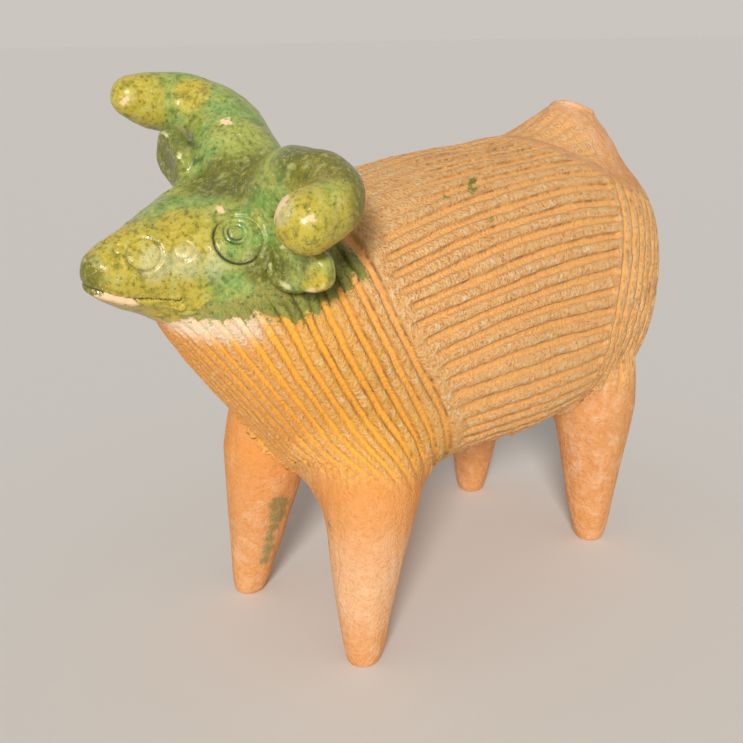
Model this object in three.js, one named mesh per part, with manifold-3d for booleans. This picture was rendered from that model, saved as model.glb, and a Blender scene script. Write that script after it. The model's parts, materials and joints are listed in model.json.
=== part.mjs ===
// A hollow fired-clay animal planter, put together as a potter makes one: a barrel closed at both
// ends, four cone legs, a modelled head with two horns and two ears, and a filler spout on the rump.
// Every piece is its own solid, and neighbours meet at a thin joint of slip.
// Millimetres, +Z up. The nose points to -Y, the animal's left side to +X, and the feet stand on Z = 0.

import * as THREE from "three";
import { ParametricGeometry } from "three/addons/geometries/ParametricGeometry.js";
import { mergeVertices } from "three/addons/utils/BufferGeometryUtils.js";
import Module from "manifold-3d";

const wasm = await Module();
wasm.setup();

// Driving dimensions, in millimetres and degrees

const SLIP_JOINT = 0.3; // thickness of the slip between two pieces

// Barrel: the hollow body, whose ends are drawn in to an upright keel at the chest and the rump
const WALL = 7;
const BARREL_WIDTH = 84;
const BARREL_HEIGHT = 88;
const BELLY_HEIGHT = 39; // floor to the belly at mid length
const CHEST_REACH = 68; // mid length to the middle of the chest keel
const CHEST_DROP = 13; // how far the chest keel sits below the barrel's middle
const CHEST_KEEL = 58;
const CHEST_LEAN_ANGLE = 37; // the chest leans forward at the top
const RUMP_REACH = 88;
const RUMP_DROP = 7;
const RUMP_KEEL = 38;
const RUMP_LEAN_ANGLE = -6;
const BELLY_TUCK = 4; // how far the belly rises towards the rump
// Shape numbers: 2 gives an ellipse, and more a squarer or blunter form
const SECTION_POWER = 2.3;
const BARREL_END_POWER = 2.6;
const KEEL_POWER = 0.7; // how soon the height opens from a keel, against the width
const DROP_POWER = 6; // how close to its end a keel's drop keeps
const LEAN_FROM_SHARE = 0.2; // the shares of the length between which the lean changes over
const LEAN_TO_SHARE = 0.75;

// Comb: coarse strokes round the shoulder and the rump, and along the flank between them
const COMB_PITCH = 7.4;
const COMB_DEPTH = 0.9;
const SHOULDER_LENGTH = 66; // along the barrel's side, from the chest keel to the shoulder's last stroke
const RUMP_LENGTH = 69;
const BELLY_PLAIN_ANGLE = 45; // the belly stays plain this far round to each side of its lowest line

// Legs: cones with rounded feet
const LEG_TOP_WIDTH = 26;
const FOOT_WIDTH = 12;
const FOOT_FLAT = 7.5; // the worn flat that the foot stands on
const FOOT_ROUND = 6; // height of the rounded end
// How far a leg's top, at the height of the belly, stands in and back from its foot
const FRONT_LEG_LEAN = 3;
const FRONT_LEG_RAKE = 6;
const REAR_LEG_LEAN = 1;
// How far a foot's middle stands in from the barrel's side and from the barrel's end
const FRONT_FOOT_INSET = 16.5;
const FRONT_FOOT_SET_BACK = 18;
const REAR_FOOT_INSET = 16;
const REAR_FOOT_SET_BACK = 38;

// Head: a pear-shaped form, cocked to one side
const HEAD_LENGTH = 65;
const SKULL_WIDTH = 46;
const SKULL_HEIGHT = 30;
const MUZZLE_WIDTH = 21;
const MUZZLE_HEIGHT = 20;
const MUZZLE_LENGTH = 45; // nose to the widest part of the skull
const NOSE_LENGTH = 7; // nose to where the muzzle starts to widen
const JAW_RATIO = 1.4; // the depth below the head's axis against the height above it
const HEAD_END_POWER = 2.7;
const HEAD_SET_BACK = 25; // the throat to the skull's middle
const HEAD_RISE = 18.5;
const HEAD_ROLL_ANGLE = 18;
const HEAD_PITCH_ANGLE = 3;

// Horns: thick tapered rolls of clay that go out and curl forward
const HORN_BASE = 21.5;
const HORN_TIP = 15;
const HORN_END_POWER = 3.2;
const HORN_ROOT_OUT = 8; // from the head's middle to where the roll starts, inside the skull
const HORN_ROOT_UP = 8;
const HORN_ARCH = 2; // how far the bend rises above the tip
const HORN_TURN_IN = 1; // how far the bend stands inside the tip
// Where the bend starts, as a share of the way out, and where it ends, as a share of the curl
const BEND_START_SHARE = 0.6;
const BEND_END_SHARE = 0.3;
// Each horn's tip, from the skull's middle, and how far its bend stands back: the two were rolled by hand
const LEFT_HORN_OUT = 32;
const LEFT_HORN_UP = 21;
const LEFT_HORN_CURL = 17;
const LEFT_HORN_SWEEP = -2;
const RIGHT_HORN_OUT = 38;
const RIGHT_HORN_UP = 17;
const RIGHT_HORN_CURL = 15;
const RIGHT_HORN_SWEEP = 8;

// Ears: flat lobes under the horns
const EAR_LENGTH = 22;
const EAR_WIDTH = 13;
const EAR_THICKNESS = 6;
const EAR_STAND = 4; // the lobe's middle, out from the side of the skull
const EAR_UP = 7;
const EAR_FORWARD = 5;
const EAR_DROOP_ANGLE = -3;
const EAR_SWEEP_ANGLE = 12;

// Filler spout: a hollow cone that passes for a tail stump
const SPOUT_STATION_SHARE = 0.8; // where it stands along the barrel, 0 at the chest and 1 at the rump
const SPOUT_TILT_ANGLE = 22; // it leans back
const SPOUT_BASE = 40;
const SPOUT_MOUTH = 16;
const SPOUT_HEIGHT = 12;
const SPOUT_WALL = 3.5;
const SPOUT_SKIRT = 4; // how far below the barrel's top line the cone starts

// Facets, and the steps of a stroke along the flank
const FLANK_STEPS = 4;
const CAVITY_FACETS = [28, 18];
const HEAD_FACETS = [32, 24];
const HORN_FACETS = [18, 18];
const EAR_FACETS = [16, 12];
const TURNED_FACETS = 24;
const CURVE_POINTS = 6;

const TURN = 2 * Math.PI;
const MERGE_DISTANCE = 1e-3;
const barrelMiddle = BELLY_HEIGHT + BARREL_HEIGHT / 2;
const spoutSink = SPOUT_BASE / 3; // the cone is carried this far into the barrel before it is fitted to it

const terracotta = new THREE.MeshStandardMaterial({ color: 0xd9905a, roughness: 0.9, metalness: 0 });
const greenGlaze = new THREE.MeshStandardMaterial({ color: 0x6f7a2c, roughness: 0.35, metalness: 0 });

// Solids

function solidFrom(geometry) {
  const bare = geometry.clone();
  bare.deleteAttribute("normal");
  bare.deleteAttribute("uv");
  const merged = mergeVertices(bare, MERGE_DISTANCE);
  const triVerts = Uint32Array.from(merged.index.array);
  const vertProperties = merged.attributes.position.array;
  return new wasm.Manifold(new wasm.Mesh({ numProp: 3, vertProperties, triVerts }));
}

function geometryFrom(solid) {
  const { vertProperties, triVerts } = solid.getMesh();
  const geometry = new THREE.BufferGeometry();
  geometry.setAttribute("position", new THREE.BufferAttribute(vertProperties, 3));
  geometry.setIndex(new THREE.BufferAttribute(triVerts, 1));
  geometry.computeVertexNormals();
  return geometry;
}

function clayMesh(name, solid, material) {
  const mesh = new THREE.Mesh(geometryFrom(solid), material);
  mesh.name = name;
  return mesh;
}

// A surface's geometry as it lies inside a placed group, so that a piece there can be cut by it.
function seenFrom(group, geometry) {
  group.updateMatrix();
  return geometry.clone().applyMatrix4(group.matrix.clone().invert());
}

// Shape formulas

const radians = THREE.MathUtils.degToRad;
const mix = THREE.MathUtils.lerp;
const ease = THREE.MathUtils.smoothstep;

// Even steps become closer towards both ends, where a form turns over most.
function closerAtEnds(share) {
  return (1 - Math.cos(Math.PI * share)) / 2;
}

// 1 along the middle of a form and 0 at its two ends, with ends as blunt as the power is high.
function roundedEnds(share, power) {
  return Math.pow(Math.max(0, 1 - Math.pow(Math.abs(2 * share - 1), power)), 1 / power);
}

function signedPower(value, power) {
  return Math.sign(value) * Math.pow(Math.abs(value), power);
}

// Barrel

// A point of the barrel's skin, moved out by grow: turn runs round a section and along from chest to rump.
function barrelPoint(turn, along, grow, target) {
  const width = roundedEnds(along, BARREL_END_POWER);
  const keel = mix(CHEST_KEEL, RUMP_KEEL, along) / 2;
  const rear = ease(along, LEAN_FROM_SHARE, LEAN_TO_SHARE);
  const lean = radians(mix(CHEST_LEAN_ANGLE, RUMP_LEAN_ANGLE, rear));
  const belly = BARREL_HEIGHT / 2 / Math.sqrt(Math.cos(lean)) - BELLY_TUCK * rear;
  const reach = Math.sin(turn) < 0 ? belly : BARREL_HEIGHT / 2;
  const halfWidth = (BARREL_WIDTH / 2 + grow) * width;
  const halfHeight = mix(keel, reach, Math.pow(width, KEEL_POWER)) + grow;
  const y = mix(-CHEST_REACH - grow, RUMP_REACH + grow, along);
  const drop = CHEST_DROP * Math.pow(1 - along, DROP_POWER) + RUMP_DROP * Math.pow(along, DROP_POWER);
  const across = halfWidth * signedPower(Math.cos(turn), 2 / SECTION_POWER);
  const upright = halfHeight * signedPower(Math.sin(turn), 2 / SECTION_POWER);
  return target.set(across, y - upright * Math.sin(lean), barrelMiddle - drop + upright * Math.cos(lean));
}

class BarrelSide extends THREE.Curve {
  getPoint(share, target = new THREE.Vector3()) {
    return barrelPoint(0, closerAtEnds(share), 0, target);
  }
}

const barrelSide = new BarrelSide();
const sideLength = barrelSide.getLength();
const girth = (Math.PI * (BARREL_WIDTH + BARREL_HEIGHT)) / 2;
const flankStrokes = Math.round(girth / COMB_PITCH);

// A row of the barrel's skin at a length along its side: each row or every second column of it is scored.
function combRow(length, rowScored, columnsScored) {
  const along = closerAtEnds(barrelSide.getUtoTmapping(0, length));
  return { along, rowScored, columnsScored };
}

// Two rows for each stroke round the barrel, the first on a ridge and the second in the groove
function strokeRows(start, length) {
  const count = 2 * Math.round(length / COMB_PITCH);
  return Array.from({ length: count }, (_, i) => combRow(start + (length * i) / count, i % 2 === 1, false));
}

// The flank's rows, whose strokes start and end close to the strokes that run round the barrel
function flankRows(start, length) {
  const runOut = COMB_PITCH / 4;
  const step = (length - 2 * runOut) / FLANK_STEPS;
  const rows = [combRow(start, false, false)];
  for (let i = 0; i <= FLANK_STEPS; i += 1) {
    rows.push(combRow(start + runOut + step * i, false, true));
  }
  return rows;
}

const rumpStart = sideLength - RUMP_LENGTH;
const combRows = [
  ...strokeRows(0, SHOULDER_LENGTH),
  ...flankRows(SHOULDER_LENGTH, rumpStart - SHOULDER_LENGTH),
  ...strokeRows(rumpStart, RUMP_LENGTH),
  combRow(sideLength, false, false),
];

// The barrel's outside, moved out by grow and scored to a depth by the comb.
function skinGeometry(grow, depth) {
  const columns = 2 * flankStrokes;
  const bellyTop = -Math.cos(radians(BELLY_PLAIN_ANGLE));
  const skin = (u, v, target) => {
    const turn = -TURN * u;
    const row = combRows[Math.round(v * (combRows.length - 1))];
    const inColumn = row.columnsScored && Math.round(u * columns) % 2 === 1;
    const scored = (row.rowScored || inColumn) && Math.sin(turn) > bellyTop;
    return barrelPoint(turn, row.along, scored ? grow - depth : grow, target);
  };
  return new ParametricGeometry(skin, columns, combRows.length - 1);
}

function cavityGeometry() {
  const skin = (u, v, target) => barrelPoint(-TURN * u, closerAtEnds(v), -WALL, target);
  return new ParametricGeometry(skin, ...CAVITY_FACETS);
}

const barrelSeat = skinGeometry(SLIP_JOINT, 0);

// Filler spout

const spoutGroup = new THREE.Group();
barrelPoint(TURN / 4, SPOUT_STATION_SHARE, 0, spoutGroup.position);
spoutGroup.rotation.x = -radians(SPOUT_TILT_ANGLE);

function turned(profile) {
  const geometry = new THREE.LatheGeometry(profile.getPoints(CURVE_POINTS), TURNED_FACETS);
  return geometry.rotateX(Math.PI / 2);
}

function spoutSolid() {
  const foot = SPOUT_BASE / 2;
  const lip = SPOUT_MOUTH / 2;
  const profile = new THREE.Path();
  profile.moveTo(foot - SPOUT_WALL, -spoutSink);
  profile.lineTo(foot, -spoutSink);
  profile.lineTo(foot, -SPOUT_SKIRT);
  profile.lineTo(lip, SPOUT_HEIGHT - SPOUT_WALL / 2);
  profile.quadraticCurveTo(lip, SPOUT_HEIGHT, lip - SPOUT_WALL / 2, SPOUT_HEIGHT);
  profile.quadraticCurveTo(lip - SPOUT_WALL, SPOUT_HEIGHT, lip - SPOUT_WALL, SPOUT_HEIGHT - SPOUT_WALL / 2);
  profile.lineTo(foot - SPOUT_WALL, -SPOUT_SKIRT);
  profile.lineTo(foot - SPOUT_WALL, -spoutSink);
  return solidFrom(turned(profile)).subtract(solidFrom(seenFrom(spoutGroup, barrelSeat)));
}

const fillerSpout = clayMesh("filler_spout", spoutSolid(), terracotta);
spoutGroup.add(fillerSpout);

// The hole in the barrel under the spout, as wide as the cone is inside.
function fillerHole() {
  const radius = SPOUT_BASE / 2 - SPOUT_WALL;
  const depth = 2 * WALL + 2 * spoutSink;
  const hole = new THREE.CylinderGeometry(radius, radius, depth, TURNED_FACETS).rotateX(Math.PI / 2);
  spoutGroup.updateMatrix();
  return solidFrom(hole.applyMatrix4(spoutGroup.matrix));
}

function bodyShellSolid() {
  const outside = solidFrom(skinGeometry(0, COMB_DEPTH));
  const cavity = solidFrom(cavityGeometry());
  return outside.subtract(cavity).subtract(fillerHole());
}

const bodyShell = clayMesh("body_shell", bodyShellSolid(), terracotta);

// Legs

function legProfile() {
  const foot = FOOT_WIDTH / 2;
  const profile = new THREE.Path();
  profile.moveTo(0, 0);
  profile.lineTo(FOOT_FLAT / 2, 0);
  profile.quadraticCurveTo(foot, 0, foot, FOOT_ROUND);
  profile.lineTo(LEG_TOP_WIDTH / 2, BELLY_HEIGHT + WALL);
  profile.quadraticCurveTo(LEG_TOP_WIDTH / 2, barrelMiddle, 0, barrelMiddle);
  return profile;
}

function leg(name, side, inset, along, inward, back) {
  const group = new THREE.Group();
  group.position.set(side * (BARREL_WIDTH / 2 - inset), along, 0);
  const sideways = (-side * inward) / BELLY_HEIGHT;
  const lean = new THREE.Matrix4().makeShear(0, 0, 0, 0, sideways, back / BELLY_HEIGHT);
  const cone = solidFrom(turned(legProfile()).applyMatrix4(lean));
  const fitted = cone.subtract(solidFrom(seenFrom(group, barrelSeat)));
  group.add(clayMesh(name, fitted, terracotta));
  return group;
}

function frontLeg(name, side) {
  const along = FRONT_FOOT_SET_BACK - CHEST_REACH;
  return leg(name, side, FRONT_FOOT_INSET, along, FRONT_LEG_LEAN, FRONT_LEG_RAKE);
}

function rearLeg(name, side) {
  const along = RUMP_REACH - REAR_FOOT_SET_BACK;
  return leg(name, side, REAR_FOOT_INSET, along, REAR_LEG_LEAN, 0);
}

const legs = [
  frontLeg("front_left_leg", 1),
  frontLeg("front_right_leg", -1),
  rearLeg("rear_left_leg", 1),
  rearLeg("rear_right_leg", -1),
];

// Head, in its own frame: the skull's middle is the origin and the nose points to -Y

const headGroup = new THREE.Group();
barrelPoint(TURN / 4, 0, 0, headGroup.position);
headGroup.position.add(new THREE.Vector3(0, HEAD_SET_BACK, HEAD_RISE));
headGroup.rotation.set(radians(HEAD_PITCH_ANGLE), radians(HEAD_ROLL_ANGLE), 0);

// along runs from the nose to the back of the skull
function headPoint(turn, along, grow, target) {
  const fromNose = along * HEAD_LENGTH;
  const skull = ease(fromNose, NOSE_LENGTH, MUZZLE_LENGTH);
  const ends = roundedEnds(along, HEAD_END_POWER);
  const halfWidth = (mix(MUZZLE_WIDTH, SKULL_WIDTH, skull) / 2 + grow) * ends;
  const halfHeight = (mix(MUZZLE_HEIGHT, SKULL_HEIGHT, skull) / 2 + grow) * ends;
  const depth = Math.sin(turn) < 0 ? JAW_RATIO : 1;
  const y = mix(-MUZZLE_LENGTH - grow, HEAD_LENGTH - MUZZLE_LENGTH + grow, along);
  return target.set(halfWidth * Math.cos(turn), y, halfHeight * depth * Math.sin(turn));
}

function headGeometry(grow) {
  const skin = (u, v, target) => headPoint(-TURN * u, closerAtEnds(v), grow, target);
  return new ParametricGeometry(skin, ...HEAD_FACETS);
}

// What the barrel takes away from any piece of the head.
const barrelSeatAtHead = solidFrom(seenFrom(headGroup, barrelSeat));
const headSeat = solidFrom(headGeometry(SLIP_JOINT));

const headSolid = solidFrom(headGeometry(0)).subtract(barrelSeatAtHead);
headGroup.add(clayMesh("head", headSolid, greenGlaze));

// Horns

const leftHorn = { out: LEFT_HORN_OUT, up: LEFT_HORN_UP, curl: LEFT_HORN_CURL, sweep: LEFT_HORN_SWEEP };
const rightHorn = { out: RIGHT_HORN_OUT, up: RIGHT_HORN_UP, curl: RIGHT_HORN_CURL, sweep: RIGHT_HORN_SWEEP };

function hornPath(side) {
  const horn = side > 0 ? leftHorn : rightHorn;
  const bend = mix(HORN_ROOT_OUT, horn.out, BEND_START_SHARE);
  const curled = mix(horn.sweep, -horn.curl, BEND_END_SHARE);
  return new THREE.CatmullRomCurve3([
    new THREE.Vector3(side * HORN_ROOT_OUT, 0, HORN_ROOT_UP),
    new THREE.Vector3(side * bend, horn.sweep, horn.up),
    new THREE.Vector3(side * (horn.out - HORN_TURN_IN), curled, horn.up + HORN_ARCH),
    new THREE.Vector3(side * horn.out, -horn.curl, horn.up),
  ]);
}

function hornGeometry(side, grow) {
  const path = hornPath(side);
  const centre = new THREE.Vector3();
  const forward = new THREE.Vector3();
  const sideways = new THREE.Vector3();
  const upward = new THREE.Vector3();
  const up = new THREE.Vector3(0, 0, 1);
  const skin = (u, v, target) => {
    const along = closerAtEnds(v);
    const radius = (mix(HORN_BASE, HORN_TIP, along) / 2 + grow) * roundedEnds(along, HORN_END_POWER);
    path.getPoint(along, centre);
    path.getTangent(along, forward);
    sideways.crossVectors(forward, up).normalize();
    upward.crossVectors(sideways, forward);
    target.copy(centre);
    target.addScaledVector(sideways, radius * Math.cos(TURN * u));
    target.addScaledVector(upward, -radius * Math.sin(TURN * u));
  };
  return new ParametricGeometry(skin, ...HORN_FACETS);
}

function hornSolid(side) {
  return solidFrom(hornGeometry(side, 0)).subtract(headSeat).subtract(barrelSeatAtHead);
}

// Ears

function earGeometry(side) {
  const lobe = new THREE.SphereGeometry(0.5, ...EAR_FACETS);
  lobe.scale(EAR_LENGTH, EAR_THICKNESS, EAR_WIDTH);
  lobe.rotateY(side * radians(EAR_DROOP_ANGLE));
  lobe.rotateZ(-side * radians(EAR_SWEEP_ANGLE));
  return lobe.translate(side * (SKULL_WIDTH / 2 + EAR_STAND), -EAR_FORWARD, EAR_UP);
}

function earSolid(side) {
  const hornSeat = solidFrom(hornGeometry(side, SLIP_JOINT));
  return solidFrom(earGeometry(side)).subtract(headSeat).subtract(hornSeat).subtract(barrelSeatAtHead);
}

for (const [word, side] of [["left", 1], ["right", -1]]) {
  headGroup.add(clayMesh(`${word}_horn`, hornSolid(side), greenGlaze));
  headGroup.add(clayMesh(`${word}_ear`, earSolid(side), greenGlaze));
}

// The planter, with its origin on the floor under the middle of its box

const planter = new THREE.Group();
planter.name = "planter";
planter.add(bodyShell, spoutGroup, ...legs, headGroup);
const box = new THREE.Box3().setFromObject(planter, true);
planter.position.set(-(box.min.x + box.max.x) / 2, -(box.min.y + box.max.y) / 2, 0);

const frame = new THREE.Group();
frame.add(planter);

export default frame;
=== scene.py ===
import json
import math

import bmesh
import bpy
import numpy as np
from mathutils import Matrix, Vector, noise
from mathutils.bvhtree import BVHTree


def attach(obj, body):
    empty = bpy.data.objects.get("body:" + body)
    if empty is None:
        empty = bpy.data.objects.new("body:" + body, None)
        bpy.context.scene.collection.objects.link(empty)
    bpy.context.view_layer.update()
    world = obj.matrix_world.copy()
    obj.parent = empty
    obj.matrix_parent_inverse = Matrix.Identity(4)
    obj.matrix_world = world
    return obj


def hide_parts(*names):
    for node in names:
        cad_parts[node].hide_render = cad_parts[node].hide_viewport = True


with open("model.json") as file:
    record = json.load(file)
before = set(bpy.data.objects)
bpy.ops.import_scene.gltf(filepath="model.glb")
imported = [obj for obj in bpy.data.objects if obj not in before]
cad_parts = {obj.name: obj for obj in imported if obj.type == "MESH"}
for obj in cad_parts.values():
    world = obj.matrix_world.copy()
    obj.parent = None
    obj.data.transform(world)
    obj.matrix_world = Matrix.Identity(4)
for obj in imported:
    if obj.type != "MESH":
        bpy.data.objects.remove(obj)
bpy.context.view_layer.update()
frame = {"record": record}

# Barrel: the hollow fired-clay body, closed at both ends, with a chest that leans forward.
# It is built by hand from one clay, so its skin wanders a little. Lengths here are in millimetres,
# the nose points to -Y, and a share of the barrel runs from 0 at the chest to 1 at the rump.
WALL = 7
BARREL_WIDTH = 84
BARREL_HEIGHT = 88
BELLY_HEIGHT = 39
CHEST_REACH = 68
CHEST_DROP = 13
CHEST_KEEL = 58
CHEST_LEAN_ANGLE = 37
RUMP_REACH = 88
RUMP_DROP = 7
RUMP_KEEL = 38
RUMP_LEAN_ANGLE = -6
BELLY_TUCK = 4
SECTION_POWER = 2.3
BARREL_END_POWER = 2.6
KEEL_POWER = 0.7
DROP_POWER = 6
LEAN_SHARES = (0.2, 0.75)
BARREL_MIDDLE = BELLY_HEIGHT + BARREL_HEIGHT / 2
TURN = 2 * math.pi
TOP = TURN / 4
HAND_SIZE = 38
HAND_SWELL = 0.7
HAND_STEADY = (2, 20)
HAND_SEED = 5
CURVE_SAMPLES = 1200
MERGE = 0.01
# The comb's strokes: round the shoulder and the rump, and along the flank.
# The skin has rows on the edges and in the middle of each, at these shares of a stroke.
SHOULDER_STROKES = 14
CHEST_PITCH = 2.9
PITCH_GROWTH = 0.0735
FLANK_STROKES = 54
FLANK_STEP = 1.25
BELLY_STROKES = 6
RUMP_STROKES = 16
RUMP_START = 124
STROKE_STEPS = [0, 0.21, 0.29, 0.37, 0.5, 0.63, 0.71, 0.79]
RUMP_STEPS = [0, 0.24, 0.38, 0.62, 0.76]
BELLY_STEPS = [0, 0.25, 0.5, 0.75]
# How the hand bends the strokes: most at the top, not at all at the ends, with a slow wander
SHOULDER_BEND = 12.5
SHOULDER_BEND_LOW = -0.17
RUMP_BEND = 10.5
RUMP_BEND_LOW = -0.36
BEND_FADE = 45
WANDER = 0.9
WANDER_ALONG = (24, 10, 24)
WANDER_ROUND = (11, 30, 11)
WANDER_APART = 50
KEEL_FADE = (4, 16)
# Below this height the shoulder's strokes turn down the legs
STROKE_DROP_FROM = 66
STROKE_DROP_SOFT = 4
STROKE_DROP = 0.45
STROKE_DROP_FADE = 20


def mix(first, second, share):
    return first + (second - first) * share


def share_of(value, start, end):
    return (value - start) / (end - start)


def ease(value, start, end):
    """0 up to start and 1 from end on, with a soft step between them, for a number or an array."""
    share = np.clip(share_of(value, start, end), 0, 1)
    return share * share * (3 - 2 * share)


def rounded_ends(share, power):
    return np.maximum(0, 1 - np.abs(2 * share - 1) ** power) ** (1 / power)


def signed_power(value, power):
    return np.sign(value) * np.abs(value) ** power


def noise_at(points, size):
    """Smooth noise from -1 to 1 at each point, with lumps of one size or of one for each axis."""
    spots = (points / np.array(size)).reshape(-1, 3).tolist()
    return np.array([noise.noise(spot) for spot in spots]).reshape(points.shape[:-1])


def barrel_section(along, grow=0):
    """The section at a share of the barrel: its middle, lean, half width and half heights down and up."""
    width = rounded_ends(along, BARREL_END_POWER)
    keel = mix(CHEST_KEEL, RUMP_KEEL, along) / 2
    rear = ease(along, *LEAN_SHARES)
    lean = np.radians(mix(CHEST_LEAN_ANGLE, RUMP_LEAN_ANGLE, rear))
    belly = BARREL_HEIGHT / 2 / np.sqrt(np.cos(lean)) - BELLY_TUCK * rear
    half_width = (BARREL_WIDTH / 2 + grow) * width
    down = mix(keel, belly, width ** KEEL_POWER) + grow
    upward = mix(keel, BARREL_HEIGHT / 2, width ** KEEL_POWER) + grow
    y = mix(-CHEST_REACH - grow, RUMP_REACH + grow, along)
    z = BARREL_MIDDLE - CHEST_DROP * (1 - along) ** DROP_POWER - RUMP_DROP * along ** DROP_POWER
    return y, z, lean, half_width, down, upward


def barrel_points(turn, along, grow=0):
    """Points of the barrel's skin, moved out by grow: turn goes round a section from the left side."""
    y, z, lean, half_width, down, upward = barrel_section(along, grow)
    across = half_width * signed_power(np.cos(turn), 2 / SECTION_POWER)
    upright = np.where(np.sin(turn) < 0, down, upward) * signed_power(np.sin(turn), 2 / SECTION_POWER)
    return np.stack([across, y - upright * np.sin(lean), z + upright * np.cos(lean)], axis=-1)


def lengths_along(points):
    """The length of the line through the points, up to each of them."""
    return np.concatenate([[0], np.cumsum(np.linalg.norm(np.diff(points, axis=0), axis=1))])


def shoulder_length(stroke):
    """How far along the barrel a stroke lies: close together at the chest and wider towards the flank."""
    return CHEST_PITCH * stroke + PITCH_GROWTH * stroke ** 2


def shoulder_stroke(length):
    """Which stroke lies at a length: shoulder_length turned round."""
    root = np.sqrt(CHEST_PITCH ** 2 + 4 * PITCH_GROWTH * np.maximum(0, length))
    return (root - CHEST_PITCH) / (2 * PITCH_GROWTH)


side_shares = (1 - np.cos(np.linspace(0, math.pi, CURVE_SAMPLES + 1))) / 2
side_lengths = lengths_along(barrel_points(0, side_shares))
ring_turns = np.linspace(-TOP, TURN - TOP, CURVE_SAMPLES + 1)
ring_lengths = lengths_along(barrel_points(ring_turns, 0.5))
barrel_length = side_lengths[-1]
flank_pitch = ring_lengths[-1] / FLANK_STROKES
shoulder_end = shoulder_length(SHOULDER_STROKES)
rump_pitch = (barrel_length - RUMP_START) / RUMP_STROKES


def from_keel(round_length):
    return np.minimum(round_length, ring_lengths[-1] - round_length)


def stroke_shift(points, turn, length, round_length):
    """How far the hand takes the comb's strokes from even spacing, along the barrel and round it."""
    upness = np.sin(turn)
    free = ease(np.minimum(length, barrel_length - length), 0, BEND_FADE)
    shoulder_bend = SHOULDER_BEND * (upness - SHOULDER_BEND_LOW) ** 2
    rump_bend = RUMP_BEND * np.maximum(0, upness - RUMP_BEND_LOW) ** 2
    bend = mix(shoulder_bend, rump_bend, ease(length, shoulder_end, RUMP_START))
    below = np.log1p(np.exp((STROKE_DROP_FROM - points[..., 2]) / STROKE_DROP_SOFT)) * STROKE_DROP_SOFT
    drop = STROKE_DROP * below * (1 - ease(length, shoulder_end, shoulder_end + STROKE_DROP_FADE))
    along = (bend - drop + WANDER * noise_at(points, WANDER_ALONG)) * free
    around = noise_at(points + WANDER_APART, WANDER_ROUND) * free
    around = around * ease(from_keel(round_length), *KEEL_FADE)
    return along, around


def stroke_rows(strokes, steps):
    return [stroke + step for stroke in strokes for step in steps]


shoulder_rows = shoulder_length(np.array(stroke_rows(range(SHOULDER_STROKES), STROKE_STEPS)))
flank_count = round((RUMP_START - shoulder_end) / FLANK_STEP)
flank_rows = np.linspace(shoulder_end, RUMP_START, flank_count, endpoint=False)
rump_rows = RUMP_START + np.array(stroke_rows(range(RUMP_STROKES), RUMP_STEPS)) * rump_pitch
row_lengths = np.concatenate([shoulder_rows, flank_rows, rump_rows, [barrel_length]])
flank_end = FLANK_STROKES - BELLY_STROKES
columns = stroke_rows(range(BELLY_STROKES), BELLY_STEPS)
columns += stroke_rows(range(BELLY_STROKES, flank_end), STROKE_STEPS)
columns += stroke_rows(range(flank_end, FLANK_STROKES), BELLY_STEPS)
column_lengths = np.array(columns + [FLANK_STROKES]) * flank_pitch
last_row = len(row_lengths) - 1
last_column = len(column_lengths) - 1

grid_rows, grid_columns = np.meshgrid(row_lengths, column_lengths, indexing="ij")
even_turns = np.interp(grid_columns, ring_lengths, ring_turns)
even_skin = barrel_points(even_turns, np.interp(grid_rows, side_lengths, side_shares))
shift_along, shift_around = stroke_shift(even_skin, even_turns, grid_rows, grid_columns)
drawn_turns = np.interp(grid_columns + shift_around, ring_lengths, ring_turns)
drawn_shares = np.interp(grid_rows + shift_along, side_lengths, side_shares)
barrel_grid = barrel_points(drawn_turns, drawn_shares).tolist()

noise.seed_set(HAND_SEED)


def hand_wander(point):
    """How far hand building leaves a point from the plain form: nothing at the floor, more higher up."""
    return noise.noise_vector(point / HAND_SIZE) * HAND_SWELL * float(ease(point.z, *HAND_STEADY))


def formed(columns, rows, place):
    """A skin of clay: a grid whose two sides are brought together and whose two ends are closed.

    Each point keeps how far round and along the grid it lies.
    """
    skin = bmesh.new()
    around = skin.verts.layers.float.new("around")
    along = skin.verts.layers.float.new("along")
    bmesh.ops.create_grid(skin, x_segments=columns, y_segments=rows, size=0.5)
    for vert in skin.verts:
        vert[around] = vert.co.x + 0.5
        vert[along] = vert.co.y + 0.5
        spot = place(vert[around], vert[along])
        vert.co = spot + hand_wander(spot)
    bmesh.ops.remove_doubles(skin, verts=skin.verts, dist=MERGE)
    bmesh.ops.recalc_face_normals(skin, faces=skin.faces)
    return skin


def barrel_place(around, along):
    return Vector(barrel_grid[round(along * last_row)][round(around * last_column)])


barrel = formed(last_column, last_row, barrel_place)
barrel_tree = BVHTree.FromBMesh(barrel)

# Legs: four cones rolled from the same clay and pressed on under the barrel with slip.
# They are smoothed with a wet thumb, so they show no combing below their roots, only drag lines.
LEG_TOP_WIDTH = 26
FOOT_WIDTH = 12
FOOT_FLAT = 7.5
FOOT_ROUND = 7
FRONT_LEG_LEAN = 3
FRONT_LEG_RAKE = 6
REAR_LEG_LEAN = 1
REAR_LEG_RAKE = 0
FRONT_FOOT_INSET = 16.5
FRONT_FOOT_SET_BACK = 18
REAR_FOOT_INSET = 16
REAR_FOOT_SET_BACK = 38
LEG_COLUMNS = 170
LEG_ROWS = 190
# Shares of a leg's rows at which its worn flat, its rounded foot and its cone end
FLAT_SHARE = 0.05
FOOT_SHARE = 0.13
CONE_SHARE = 0.63
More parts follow.
